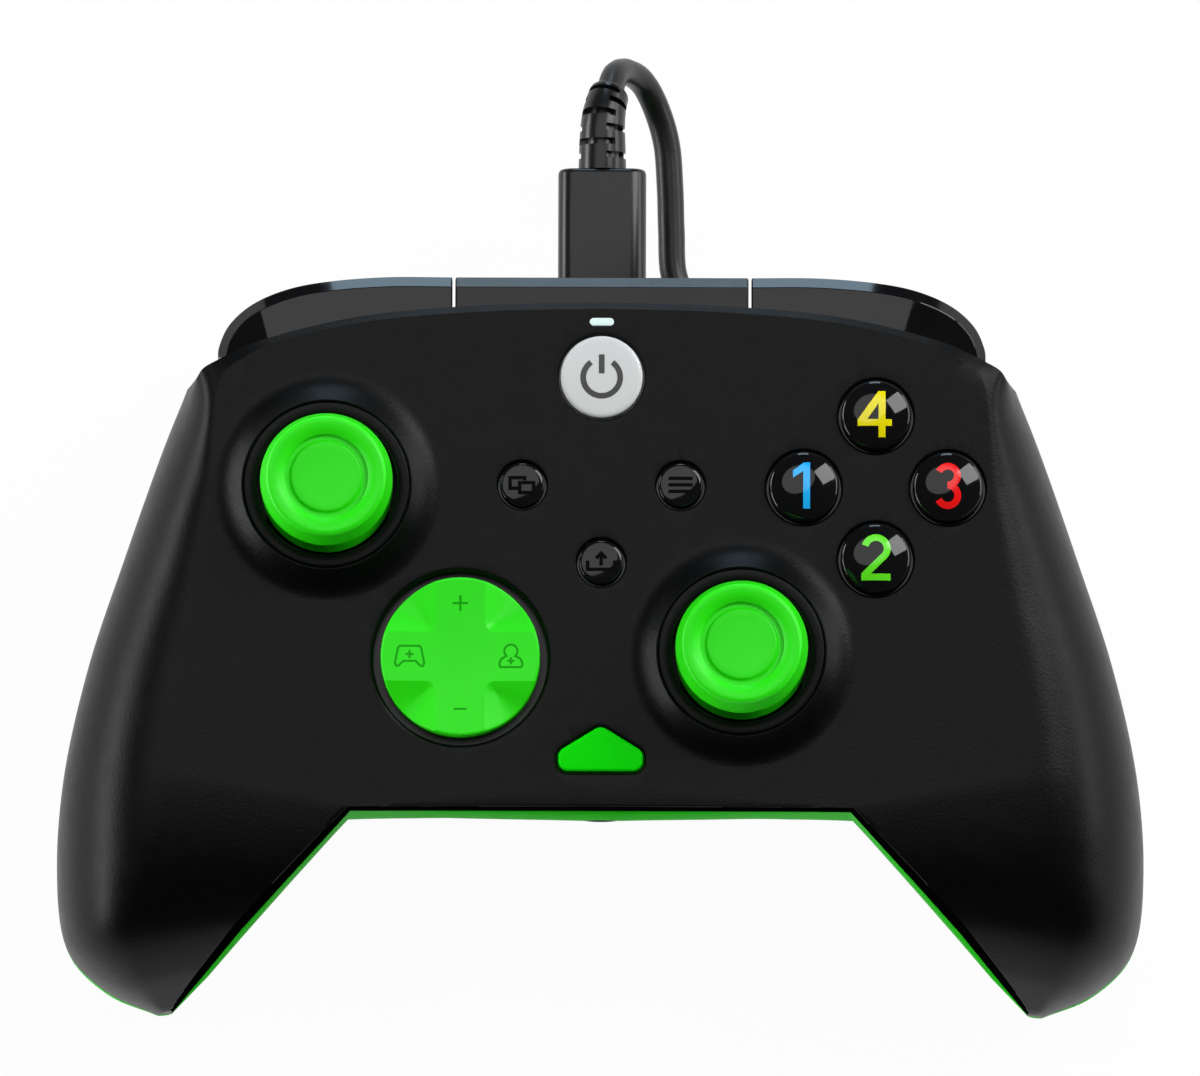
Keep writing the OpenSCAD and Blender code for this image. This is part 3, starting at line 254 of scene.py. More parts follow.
def strokes(name, lines, width, height, depth, place=(0, 0)):
    """Strips along lines on a surface: height(x, y) is the surface, depth how far the strips reach under it."""
    verts, faces = [], []
    for line, closed in lines:
        p = fine(line, closed)
        n = len(p)
        first = len(verts)
        for i in range(n):
            before = p[i - 1] if closed or i else 2 * p[0] - p[1]
            after = p[(i + 1) % n] if closed or i + 1 < n else 2 * p[i] - p[i - 1]
            d0 = (p[i] - before) / np.linalg.norm(p[i] - before)
            d1 = (after - p[i]) / np.linalg.norm(after - p[i])
            side = np.array([-(d0 + d1)[1], (d0 + d1)[0]])
            side /= np.linalg.norm(side)
            side /= max(0.4, abs(side[0] * -d0[1] + side[1] * d0[0]))
            for end in (1, -1):
                q = p[i] + side * end * width / 2
                x, y = q[0] + place[0], q[1] + place[1]
                verts.append((x, y, height(q[0], q[1]) + 0.03))
                verts.append((x, y, height(q[0], q[1]) - depth))
        for i in range(n if closed else n - 1):
            a, b = first + 4 * i, first + 4 * ((i + 1) % n)
            faces += [(a, b, b + 2, a + 2), (a + 1, a + 3, b + 3, b + 1),
                      (a, a + 1, b + 1, b), (a + 2, b + 2, b + 3, a + 3)]
        if not closed:
            a, b = first, first + 4 * (n - 1)
            faces += [(a, a + 2, a + 3, a + 1), (b, b + 1, b + 3, b + 2)]
    return outward(new_mesh(name, verts, faces))


# Materials

def shader(name):
    material = bpy.data.materials.new(name)
    material.use_nodes = True
    tree = material.node_tree
    return material, tree, tree.nodes["Principled BSDF"]


def node(tree, kind, **inputs):
    made = tree.nodes.new(kind)
    for key, value in inputs.items():
        made.inputs[key.replace("_", " ")].default_value = value
    return made


def maths(tree, operation, a, b, clamped=False):
    """The output of a math node: a is a socket, b a socket or a number."""
    made = tree.nodes.new("ShaderNodeMath")
    made.operation = operation
    made.use_clamp = clamped
    tree.links.new(a, made.inputs[0])
    if isinstance(b, float):
        made.inputs[1].default_value = b
    else:
        tree.links.new(b, made.inputs[1])
    return made.outputs[0]


def grained(name, dark, light, rough, rough_spread, grain, grain_depth, patch=60, specular=0.5, coat=0.0,
            metallic=0.0):
    """Moulded material: two close tones in soft patches, an uneven roughness and a fine grain."""
    material, tree, bsdf = shader(name)
    link = tree.links.new
    where = tree.nodes.new("ShaderNodeTexCoord")
    cloud = node(tree, "ShaderNodeTexNoise", Scale=patch, Detail=4.0, Roughness=0.55)
    link(where.outputs["Object"], cloud.inputs["Vector"])
    tone = tree.nodes.new("ShaderNodeValToRGB")
    tone.color_ramp.elements[0].position = 0.3
    tone.color_ramp.elements[0].color = (*dark, 1)
    tone.color_ramp.elements[1].position = 0.7
    tone.color_ramp.elements[1].color = (*light, 1)
    link(cloud.outputs["Fac"], tone.inputs["Fac"])
    link(tone.outputs["Color"], bsdf.inputs["Base Color"])
    smear = node(tree, "ShaderNodeTexNoise", Scale=patch * 5, Detail=5.0, Roughness=0.65)
    link(where.outputs["Object"], smear.inputs["Vector"])
    spread = tree.nodes.new("ShaderNodeMapRange")
    spread.inputs["From Min"].default_value = 0.3
    spread.inputs["From Max"].default_value = 0.7
    spread.inputs["To Min"].default_value = rough - rough_spread
    spread.inputs["To Max"].default_value = rough + rough_spread
    link(smear.outputs["Fac"], spread.inputs["Value"])
    link(spread.outputs["Result"], bsdf.inputs["Roughness"])
    pits = node(tree, "ShaderNodeTexNoise", Scale=grain, Detail=2.0, Roughness=0.5)
    link(where.outputs["Object"], pits.inputs["Vector"])
    bump = node(tree, "ShaderNodeBump", Strength=0.6, Distance=grain_depth * MM)
    link(pits.outputs["Fac"], bump.inputs["Height"])
    link(bump.outputs["Normal"], bsdf.inputs["Normal"])
    bsdf.inputs["Specular IOR Level"].default_value = specular
    bsdf.inputs["Coat Weight"].default_value = coat
    bsdf.inputs["Coat Roughness"].default_value = 0.05
    bsdf.inputs["Metallic"].default_value = metallic
    return material


black_shell = grained("black_shell", (0.0009, 0.0009, 0.001), (0.0013, 0.0013, 0.0014), 0.39, 0.03, 2400, 0.05,
                      specular=0.14)
# Shell material with no reflection, for the wall of the lower lip: painted shade
lip_painted_shade = grained("lip_painted_shade", (0.0009, 0.0009, 0.001), (0.0013, 0.0013, 0.0014), 0.6, 0.03, 2600, 0.03, specular=0.0)
green_shell = grained("green_shell", (0.01, 0.5, 0.003), (0.014, 0.55, 0.005), 0.5, 0.04, 4200, 0.01, specular=0.015)
satin_black = grained("satin_black", (0.005, 0.005, 0.0055), (0.007, 0.007, 0.0075), 0.26, 0.02, 4200, 0.002,
                      specular=0.33)
gloss_black = grained("gloss_black", (0.0035, 0.0035, 0.004), (0.005, 0.005, 0.0055), 0.06, 0.025, 900, 0.0012,
                      specular=0.34)
green_control = grained("green_control", (0.018, 0.7, 0.003), (0.024, 0.75, 0.006), 0.4, 0.05, 4800, 0.01,
                        specular=0.24)
home_grey = grained("home_grey", (0.58, 0.59, 0.59), (0.62, 0.63, 0.63), 0.34, 0.04, 4200, 0.006)
lens = grained("light_lens", (0.72, 0.9, 0.87), (0.76, 0.94, 0.9), 0.12, 0.03, 1500, 0.002)
board_mask = grained("board", (0.012, 0.07, 0.03), (0.02, 0.11, 0.045), 0.35, 0.06, 1800, 0.02)
pad_rubber = grained("pad_rubber", (0.5, 0.5, 0.47), (0.56, 0.56, 0.53), 0.6, 0.06, 3000, 0.02)
steel = grained("steel", (0.55, 0.56, 0.58), (0.63, 0.64, 0.66), 0.28, 0.07, 2600, 0.006, metallic=1.0)
# Dark steel for the stick bases: painted shade in the gaps round the stick caps
steel_painted_shade = grained("steel_painted_shade", (0.012, 0.012, 0.013), (0.018, 0.018, 0.02), 0.6, 0.05, 2600, 0.006, metallic=1.0)
inner_plastic = grained("inner_plastic", (0.02, 0.02, 0.022), (0.03, 0.03, 0.033), 0.45, 0.05, 3200, 0.015)
jacket = grained("cable", (0.006, 0.006, 0.0065), (0.009, 0.009, 0.0095), 0.35, 0.05, 2600, 0.01, specular=0.3)
green_bright = grained("green_bright", (0.002, 0.68, 0.0006), (0.003, 0.73, 0.001), 0.5, 0.04, 4800, 0.01,
                       specular=0.05)
ink_dark = grained("ink_dark", (0.03, 0.03, 0.032), (0.036, 0.036, 0.038), 0.4, 0.04, 3800, 0.008)
# Darker green laid in the D-pad's sign grooves: painted shade
groove_shade_green = grained("groove_shade_green", (0.004, 0.33, 0.001), (0.006, 0.37, 0.002), 0.5, 0.04, 3800, 0.004, specular=0.1)
ink_black = grained("ink_black", (0.002, 0.002, 0.002), (0.003, 0.003, 0.003), 0.7, 0.04, 3800, 0.004, specular=0.03)
ink_blue = grained("ink_blue", (0.01, 0.38, 0.86), (0.016, 0.43, 0.92), 0.16, 0.03, 2200, 0.002)
ink_green = grained("ink_green", (0.1, 0.7, 0.012), (0.13, 0.76, 0.02), 0.16, 0.03, 2200, 0.002)
ink_red = grained("ink_red", (0.78, 0.006, 0.006), (0.85, 0.01, 0.01), 0.16, 0.03, 2200, 0.002)
ink_yellow = grained("ink_yellow", (0.74, 0.64, 0.0), (0.8, 0.7, 0.003), 0.16, 0.03, 2200, 0.002)

SLOT_MATERIALS = {
    "black_shell": black_shell, "green_shell": green_shell, "satin_black": satin_black, "gloss_black": gloss_black,
    "green_control": green_control, "home_grey": home_grey, "light_lens": lens, "board": board_mask,
    "pad_rubber": pad_rubber, "steel": steel, "inner_plastic": inner_plastic, "cable": jacket,
}
for part in frame["record"]["subparts"]:
    mesh = nodes[part["node"]].data
    mesh.materials.clear()
    mesh.materials.append(SLOT_MATERIALS[part["material_slot"]])
# The stick bases show through the collars, so their steel is painted dark: painted shade in the gaps round the caps
for word in ("left", "right"):
    nodes[word + "_stick_base"].data.materials[0] = steel_painted_shade

# Cable: free run from the strain relief, wound coil and tail, with the route of the CAD model
CABLE_D = 3.8
RUN = [
    (1.0, 78.5, 31.7), (1.75, 81.3, 28.8), (3.3, 82.4, 24.6), (5.6, 81.5, 20.4), (7.6, 78.2, 17.1),
    (9.1, 73.2, 15.6), (9.6, 67.0, 15.2), (9.8, 61.0, 15.0), (10.2, 54.6, 14.9), (12.6, 50.2, 14.9),
    (17.7, 45.8, 15.0), (24.4, 38.2, 15.3), (30.1, 30.6, 15.6), (32.2, 26.5, 15.6), (32.4, 23.0, 15.6),
]
TAIL = [
    (22.0, 43.2, 2.9), (26.0, 40.4, 3.0), (31.0, 36.6, 3.8), (35.4, 32.4, 5.4), (38.1, 28.2, 7.0),
    (39.0, 24.6, 7.8), (39.0, 21.0, 7.9),
]
COIL_TURNS, COIL_STEP, COIL_LAYER, COIL_IN = 3.587, 5.2, 4.25, 13.8
COIL_PLACE, COIL_Z, LOOP_POINTS = (0, 19), 2.9, 24
COIL_OUT = COIL_IN + COIL_STEP * COIL_TURNS


def coil_point(a):
    block = COIL_TURNS + 0.5
    k = min(int(a / block), 3)
    f = a - k * block
    turns = min(f, COIL_TURNS)
    r = COIL_OUT - COIL_STEP * turns if k % 2 == 0 else COIL_IN + COIL_STEP * turns
    drop = max(0.0, f - COIL_TURNS) * 2
    turn = -2 * math.pi * a
    return (COIL_PLACE[0] + r * math.cos(turn), COIL_PLACE[1] + r * math.sin(turn),
            COIL_Z + COIL_LAYER * (3 - k - drop))


coil_total = 4 * COIL_TURNS + 1.5
coil_count = int(coil_total * LOOP_POINTS)
coil_line = [coil_point(coil_total * n / coil_count) for n in range(coil_count + 1)]
cable_line = through(RUN, 6)[:-1] + [np.array(p) for p in coil_line] + through(TAIL, 6)
curve = bpy.data.curves.new("cable", "CURVE")
curve.dimensions = "3D"
curve.bevel_depth = CABLE_D / 2 * MM
curve.bevel_resolution = 5
curve.use_fill_caps = True
track = curve.splines.new("POLY")
track.points.add(len(cable_line) - 1)
for point, q in zip(track.points, cable_line):
    point.co = (*(float(c) * MM for c in q), 1)
track.use_smooth = True
cable = bpy.data.objects.new("cable", curve)
scene.collection.objects.link(cable)
curve.materials.append(jacket)
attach(cable, "root")
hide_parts("cable_run", "cable_coil", "cable_tail")

# Shells: the rungs of the CAD model, with finer steps between them
FACE, BELLY, WALL, EDGE_WALL = 47.0, 20.5, 2.0, 4.0
RUNGS = [
    ((62.4, -51.0), (60.3, -50.8), 28.4, 28.0, 24.0, 17.0, 1.0, 0.8, 1, 0, 0.5),
    ((69.8, -47.7), (55.8, -45.9), 27.4, 23.5, 14.0, 6.0, 6.0, 4.5, 8, 0.6, 3),
    ((75.2, -41.8), (50.6, -40.1), 25.2, 18.3, 6.5, 0.6, 10.0, 8.0, 13, 0.7, 5),
    ((76.5, -31.0), (43.8, -33.2), 22.0, 12.3, 2.0, 0.0, 14.0, 8.0, 17, 0.35, 6),
    ((75.4, -17.5), (35.1, -24.4), 19.0, 5.5, 0.0, 1.0, 15.0, 0.8, 17, 0, 7),
    ((72.0, -2.5), (26.0, -24.4), 18.0, 5.0, 0.0, 1.4, 14.0, 0.8, 15, 0.3, 8),
    ((67.1, 12.4), (20.0, -24.4), 18.0, 5.0, 0.0, 0.8, 13.0, 0.8, 13.5, 0.5, 8),
    ((62.0, 27.0), (15.0, -24.4), 17.7, 5.0, 0.0, 0.0, 11.0, 0.8, 12.5, 0.6, 8),
    ((58.4, 36.0), (11.5, -24.4), 17.0, 5.0, 0.0, 12.0, 7.0, 0.8, 11, 0.66, 8),
    ((54.2, 38.5), (9.5, -24.4), 3.7, 5.0, 0.0, 17.0, 2.0, 0.8, 9, 0.69, 8),
    ((47.0, 41.7), (7.5, -24.4), 3.7, 5.0, 0.0, 20.0, 1.0, 0.8, 9, 0.71, 8),
    ((33.0, 45.0), (5.0, -24.4), 3.7, 5.0, 0.0, 21.0, 1.0, 0.8, 9, 0.73, 8),
    ((16.0, 46.5), (2.5, -24.4), 3.7, 5.0, 0.0, 21.0, 1.0, 0.8, 9, 0.75, 8),
    ((0.0, 46.9), (0.0, -24.4), 3.7, 5.0, 0.0, 21.0, 1.0, 0.8, 9, 0.75, 8),
]
RUNGS = [tuple(np.array(v, float) for v in row) for row in RUNGS]
CORNER, RUNG_STEPS = 8, 8
HALF_COLS = (len(RUNGS) - 1) * RUNG_STEPS
BAND_TOP, BAND_LOW, REAR_RIM = 43.0, 31.4, 28.7
LENGTH_SCALE = 98 / 97.9


def smooth_item(k, t, item):
    b, c = RUNGS[k][item], RUNGS[k + 1][item]
    a = 2 * b - c if k in (0, CORNER) else RUNGS[k - 1][item]
    d = 2 * c - b if k + 1 == CORNER or k + 2 >= len(RUNGS) else RUNGS[k + 2][item]
    return spline(a, b, c, d, t)


def column(i):
    k = min(i // RUNG_STEPS, len(RUNGS) - 2)
    t = i / RUNG_STEPS - k
    line = [mix(RUNGS[k][n], RUNGS[k + 1][n], t) for n in range(11)]
    stretch = np.array([1, LENGTH_SCALE])
    return {
        "outer": smooth_item(k, t, 0) * stretch, "inner": line[1] * stretch, "rim": FACE - float(line[2]),
        "inner_rim": FACE - float(line[3]), "crown": FACE - max(0.0, float(smooth_item(k, t, 4))),
        "keel": max(0.0, float(smooth_item(k, t, 5))), "round": float(line[6]), "edge": float(line[7]),
        "keel_half": float(line[8]), "swell": float(line[9]), "wall": float(line[10]), "rung": i / RUNG_STEPS,
    }


def flipped(c):
    flip = np.array([-1, 1])
    return {**c, "outer": c["outer"] * flip, "inner": c["inner"] * flip}


half_columns = [column(i) for i in range(HALF_COLS + 1)]
columns = half_columns + [flipped(c) for c in half_columns[-2::-1]]
LAST = len(columns) - 1


def inset_of(c):
    return min(WALL, 0.22 * float(np.linalg.norm(c["inner"] - c["outer"])))


def inset(i):
    c = columns[i]
    w = inset_of(c)

    def tangent(item):
        d = columns[min(i + 1, LAST)][item] - columns[max(i - 1, 0)][item]
        return d / np.linalg.norm(d)
    o, n = tangent("outer"), tangent("inner")
    return {**c, "outer": c["outer"] + w * np.array([-o[1], o[0]]), "inner": c["inner"] + w * np.array([n[1], -n[0]])}


SEAM = 0.18
CHAMFER, LIP_ROUND = 0.85, 0.5
SIDE_STEPS = 16
MID_STEPS = 30


def front_row(c, w):
    """Points down one rung of the front shell, as (distance from the outer edge, height)."""
    span = float(np.linalg.norm(c["inner"] - c["outer"]))
    r = max(min(c["round"], 0.45 * span) - w, 0.2)
    e = min(c["edge"], LIP_ROUND) if w == 0 else max(min(c["edge"], 0.3 * span) - w / 4, 0.2)
    rim, top = c["rim"], c["crown"] - w
    edge = min(c["inner_rim"] + EDGE_WALL - w, top)
    seam = SEAM if w == 0 else 0.0
    crisp = ease((c["rung"] - 7.7) / 1.1) if w == 0 else 0.0
    points = [(seam, rim)]
    for s in range(SIDE_STEPS + 1):
        a = math.pi / 2 * s / SIDE_STEPS
        oval = (r * (1 - math.cos(a)), rim + (top - rim) * math.sin(a))
        f = s / SIDE_STEPS
        cut = (0.0, mix(rim, top - CHAMFER, f * 2)) if f <= 0.5 else (r * (f * 2 - 1), top - CHAMFER * (2 - f * 2))
        point = (mix(oval[0], cut[0], crisp), mix(oval[1], cut[1], crisp))
        points.append((point[0], max(point[1], rim + seam)))
    points += [(r + (span - r - e) * s / MID_STEPS, top) for s in range(1, MID_STEPS + 1)]
    for s in range(1, 10):
        a = math.radians(10 * s)
        points.append((span - e + e * math.sin(a), edge + (top - edge) * math.cos(a)))
    points += [(span, mix(edge, c["inner_rim"] + seam, 0.5)), (span, c["inner_rim"] + seam),
               (span - seam, c["inner_rim"])]
    return points


KEEL_POWER, BLEND, BELLY_ROUND = 2.4, 5.0, 9.0


def quarter(t):
    return 1.0 if t >= 1 else math.sqrt(max(0.0, 1 - (1 - t) ** 2))


def rear_depth(c, d, span, w):
    half = min(c["keel_half"], 0.44 * span) - w * 0.4
    rim = min(c["rim"], REAR_RIM)
    base = mix(rim, c["inner_rim"], min(d / (2 * half), 1))
    t = abs((d - half) / half)
    bulge = 0.0 if t >= 1 else (1 - t ** KEEL_POWER) ** (1 / KEEL_POWER)
    keel = base - (base - c["keel"] - w) * bulge
    low = BELLY + w
    outer = mix(max(rim, low), low, quarter(d / BELLY_ROUND))
    inner = mix(max(c["inner_rim"] - c["wall"], low), low, quarter((span - d) / BELLY_ROUND))
    belly = max(outer, inner)
    h = max(BLEND - abs(keel - belly), 0) / BLEND
    return min(keel, belly) - h * h * BLEND / 4


KEEL_STEPS = 26
BELLY_SHARES = [0.07 * n for n in range(1, 13)] + [0.88, 0.92, 0.95, 0.975, 0.99]
WALL_STEPS = 12


def rear_row(c, w):
    span = float(np.linalg.norm(c["inner"] - c["outer"]))
    half = min(c["keel_half"], 0.44 * span)
    rim, low = min(c["rim"], REAR_RIM), c["inner_rim"]
    seam = SEAM if w == 0 else 0.0
    inside = [half * (1 - math.cos(math.pi * s / KEEL_STEPS)) for s in range(1, KEEL_STEPS + 1)]
    inside += [mix(2 * half, span, f) for f in BELLY_SHARES]
    points = [(seam, rim), (0.0, rim - seam)]
    points += [(d, min(rear_depth(c, d, span, w), mix(rim, low, d / span) - seam)) for d in inside]
    for n in range(WALL_STEPS, 0, -1):
        h = n / WALL_STEPS
        points.append((span + c["swell"] * math.sin(math.radians(135) * h ** 0.8), low - seam - (c["wall"] - seam) * h))
    return points + [(span, low - seam), (span - seam, low)]


def in_space(c, row):
    d = c["inner"] - c["outer"]
    d /= np.linalg.norm(d)
    return [(c["outer"][0] + d[0] * p, c["outer"][1] + d[1] * p, z) for p, z in row]


def shell(name, row):
    """A closed skin: the outer rows, and inner rows a wall behind them that stop short of both tips."""
    outer = [in_space(c, row(c, 0)) for c in columns]
    inner = [in_space(inset(i), row(inset(i), inset_of(columns[i]))) for i in range(1, LAST)]
    rows = len(outer[0])
    edge = rows - 1
    verts = [p for grid in (outer, inner) for line in grid for p in line]

    def at(i, j):
        return i * rows + j

    def within(i, j):
        return (LAST + i) * rows + j
    faces = [(at(i, j), at(i + 1, j), at(i + 1, j + 1), at(i, j + 1)) for i in range(LAST) for j in range(edge)]
    for i in range(1, LAST - 1):
        faces += [(within(i, j), within(i, j + 1), within(i + 1, j + 1), within(i + 1, j)) for j in range(edge)]
        faces += [(at(i, j), within(i, j), within(i + 1, j), at(i + 1, j)) for j in (0, edge)]
    for end, near in ((0, 1), (LAST, LAST - 1)):
        faces.append(tuple(at(end, j) for j in range(rows)))
        faces.append(tuple(within(near, j) for j in range(rows)))
        faces.append((at(end, 0), at(end, edge), within(near, edge), within(near, 0)))
        faces += [(at(end, j), at(near, j), within(near, j)) for j in (0, edge)]
    return outward(new_mesh(name, verts, faces))


def rod(name, r, z0, z1, place, steps=48):
    return revolve(name, [(0, z0), (r, z0), (r, z1), (0, z1)], place, steps)


def block(name, low, high):
    x0, y0, z0 = low
    x1, y1, z1 = high
    verts = [(x, y, z) for z in (z0, z1) for y in (y0, y1) for x in (x0, x1)]
    faces = [(0, 2, 3, 1), (4, 5, 7, 6), (0, 1, 5, 4), (2, 6, 7, 3), (0, 4, 6, 2), (1, 3, 7, 5)]
    return outward(new_mesh(name, verts, faces))


def circle(cx, cy, r, steps):
    return [(cx + r * math.cos(a), cy + r * math.sin(a)) for a in (2 * math.pi * s / steps for s in range(steps))]


def rod_y(name, r, y0, y1, x, z, steps=48):
    return sweep(name, [[(px, y, pz) for px, pz in circle(x, z, r, steps)] for y in (y0, y1)])


def rod_x(name, r, x0, x1, y, z, steps=48):
    return sweep(name, [[(x, py, pz) for py, pz in circle(y, z, r, steps)] for x in (x0, x1)])


LEFT_STICK, RIGHT_STICK, PAD, CLUSTER = (-38.5, 20.8), (19.7, -2.6), (-19.7, -3.4), (38.5, 20.8)
HOME, SMALLS, FUNCTION = (0, 36.3), ((-11.1, 21), (11.1, 21), (0, 10.1)), (0, -16.3)
LIGHT = (0, 44.1)
FACE_STEP, FACE_R, HOME_R, SMALL_R, PAD_R, PAD_GAP, GAP = 10.1, 4.95, 5.75, 3.1, 11.15, 1.1, 0.3
COLLAR_H, COLLAR_R, RING_R, RING_BORE = 2.4, 16.6, 11.65, 9.9
SCREWS = ((62, -36, 14, 5.7), (-62, -36, 14, 5.7), (32, -15.5, 24.5, 1), (-32, -15.5, 24.5, 1), (0, 25.5, 24.5, 1))
BOARD_POSTS = ((20, 34), (-20, 34), (23, -18), (-23, -18))
MOTORS_X = (-58, 58)


def face_button_place(turn):
    a = math.radians(turn)
    return (CLUSTER[0] + FACE_STEP * math.cos(a), CLUSTER[1] + FACE_STEP * math.sin(a))


def hole(place, r, lip, top=FACE):
    """A round hole's cutter with a rounded lip at the face."""
    turn = [(r + lip * (1 - math.cos(a)), top - lip + lip * math.sin(a)) for a in
            (math.pi / 2 * s / 5 for s in range(6))]
    return revolve("hole", [(0, FACE - 4), (r, FACE - 4)] + turn + [(r + lip, top + 4), (0, top + 4)], place, 128)


def corner_outline(corners, r, steps=8):
    """A convex outline, counterclockwise, grown by r with round corners."""
    p = [np.array(c, float) for c in corners]
    out = []
    for i in range(len(p)):
        d0, d1 = p[i] - p[i - 1], p[(i + 1) % len(p)] - p[i]
        a0, a1 = math.atan2(d0[1], d0[0]) - math.pi / 2, math.atan2(d1[1], d1[0]) - math.pi / 2
        while a1 < a0:
            a1 += 2 * math.pi
        out += [tuple(p[i] + r * np.array([math.cos(a), math.sin(a)])) for a in
                (mix(a0, a1, s / steps) for s in range(steps + 1))]
    return out


def layered(name, outline, levels, place):
    """A solid of stacked outlines: outline(grow) at each (grow, height)."""
    return sweep(name, [[(x + place[0], y + place[1], z) for x, y in outline(g)] for g, z in levels])


def function_outline(grow):
    return corner_outline([(-4.5, -1.6), (4.5, -1.6), (4.5, -1.05), (0, 1.72), (-4.5, -1.05)], 1.4 + grow)


def light_outline(grow):
    return rounded_rect(3.4 + 2 * grow, 1.1 + 2 * grow, 0.549 + grow)


front = shell("front_shell_skin", front_row)
hills = []
for place in (LEFT_STICK, RIGHT_STICK):
    slope = []
    for s in range(25):
        t = 1 - s / 24
        slope.append((mix(12.0, COLLAR_R, t), FACE - 0.02 + COLLAR_H * (1 - math.sin(math.pi / 2 * t)) ** 1.15))
    profile = [(RING_R - 0.5, FACE - 1.6), (COLLAR_R - 2.4, FACE - 1.6), (COLLAR_R - 2.4, FACE - 3.2),
               (COLLAR_R - 0.2, FACE - 3.2)]
    hills.append(revolve("hill", profile + slope + [(RING_R - 0.5, FACE + COLLAR_H)], place, 160))
for x, y, seat, drop in SCREWS:
    hills.append(rod("post", 3.1, seat + 2, FACE - drop, (x, y)))
combine(front, hills, "UNION")
cuts = [hole(p, RING_R + 0.05, 0.35, FACE + COLLAR_H) for p in (LEFT_STICK, RIGHT_STICK)]
cuts.append(hole(PAD, PAD_R + PAD_GAP, 0.6))
cuts += [hole(face_button_place(a), FACE_R + GAP, 0.35) for a in (0, 90, 180, 270)]
cuts.append(hole(HOME, HOME_R + GAP, 0.3))
cuts += [hole(p, SMALL_R + GAP, 0.35) for p in SMALLS]
LIP = [(GAP + 0.3 * (1 - math.cos(a)), FACE - 0.3 + 0.3 * math.sin(a)) for a in (math.pi / 2 * s / 4 for s in range(5))]
cuts.append(layered("hole", function_outline, [(GAP, FACE - 4)] + LIP + [(GAP + 0.3, FACE + 2)], FUNCTION))
cuts.append(layered("hole", light_outline, [(0.03, FACE - 4), (0.03, FACE + 2)], LIGHT))
for x, y, seat, drop in SCREWS:
    cuts.append(rod("hole", 1.25, seat, seat + 11, (x, y)))
combine(front, cuts, "DIFFERENCE")
finish_piece(front, "root", black_shell, "black_shell", "front_shell", angle=28)
# The wall of the lower lip gets the shell material without any reflection: painted shade that keeps it dark
LIP_HALF, LIP_BACK = 35.5, -20
front.data.materials.append(lip_painted_shade)
for face in front.data.polygons:
    n, c = face.normal, face.center
    inward = -n.x * math.copysign(1, c.x) > 0.3 or abs(c.x) < LIP_HALF * MM
    if inward and abs(n.z) < 0.45 and n.y < -0.3 and c.y < LIP_BACK * MM:
        face.material_index = 1

NOTCH_Y = 33.8
JACK_Z, BOTTOM_Y = 34.6, -24.4 * LENGTH_SCALE
rear = shell("rear_shell_skin", rear_row)
adds = []
for x, y, seat, drop in SCREWS:
    adds.append(rod("boss", 3.6, 1.6 if seat == 14 else BELLY + 1, seat + 2, (x, y)))
for x, y in BOARD_POSTS:
    adds.append(rod("boss", 2.5, BELLY + 1, 30.4, (x, y)))
for x in MOTORS_X:
    adds.append(block("cradle", (x - 4, -25, 2.2), (x + 4, -15, 16)))
combine(rear, adds, "UNION")
cuts = []
for x, y, seat, drop in SCREWS:
    profile = [(0, -1), (3.0, -1), (3.0, 0.2), (2.6, 0.6), (2.6, seat), (1.5, seat), (1.5, seat + 3), (0, seat + 3)]
    cuts.append(revolve("hole", profile, (x, y), 48))
for x, y in BOARD_POSTS:
    cuts.append(rod("hole", 0.95, 23.4, 31.4, (x, y), 24))
for x in MOTORS_X:
    cuts.append(rod_y("hole", 5.55, -27, -13, x, 18))
for side in (-1, 1):
    x0, x1 = sorted((side * 26.0, side * 52.0))
    cuts.append(block("notch", (x0, NOTCH_Y, -1), (x1, NOTCH_Y + 40, 59)))
cuts.append(rod_y("hole", 2.55, BOTTOM_Y - 1, BOTTOM_Y + 4, 0, JACK_Z))
combine(rear, cuts, "DIFFERENCE")
finish_piece(rear, "root", green_shell, "green_shell", "rear_shell", angle=28)

# Mouth of the headset jack, flush with the wall
mouth = rod_y("headset_jack_mouth", 2.5, BOTTOM_Y - 0.5, BOTTOM_Y + 0.4, 0, JACK_Z)
bore = [(2.3, -1.0), (2.3, -0.5), (1.8, -0.1), (1.8, 1.0)]
cutter = sweep("bore", [[(x, BOTTOM_Y + y, z) for x, z in circle(0, JACK_Z, r, 48)] for r, y in bore])
combine(mouth, [cutter], "DIFFERENCE")
finish_piece(mouth, "root", gloss_black, "gloss_black")

# Bridge and bumpers: one band behind the front shell's top edge
BUMPER_Y, BRIDGE_HALF, BUMPER_IN = 51.0, 20.6, 21.0
CHAMFER_IN, CHAMFER_DOWN = 1.45, 1.2
PLUG_Z = 33.6
PIN_X, PIN_Y = 24, 45.5


def bar_y(name, size, r, y0, y1, z):
    return sweep(name, [[(x, y, z + h) for x, h in rounded_rect(*size, r)] for y in (y0, y1)])


def band_profile(length, low, top):
    """Points round a section of the band: distance in from the outer face, and height."""
    c, fall = CHAMFER_IN, CHAMFER_DOWN
    return [(0.55, low), (0.16, low + 0.16), (0, low + 0.55), (0, mix(low, top, 0.5)), (0, top - fall - 0.12),
            (0.04, top - fall), (c, top - 0.04), (c + 0.12, top), (mix(c, length, 0.35), top),
            (mix(c, length, 0.7), top), (length - 0.3, top), (length, top - 0.3), (length, low + 0.3),
            (length - 0.3, low)]


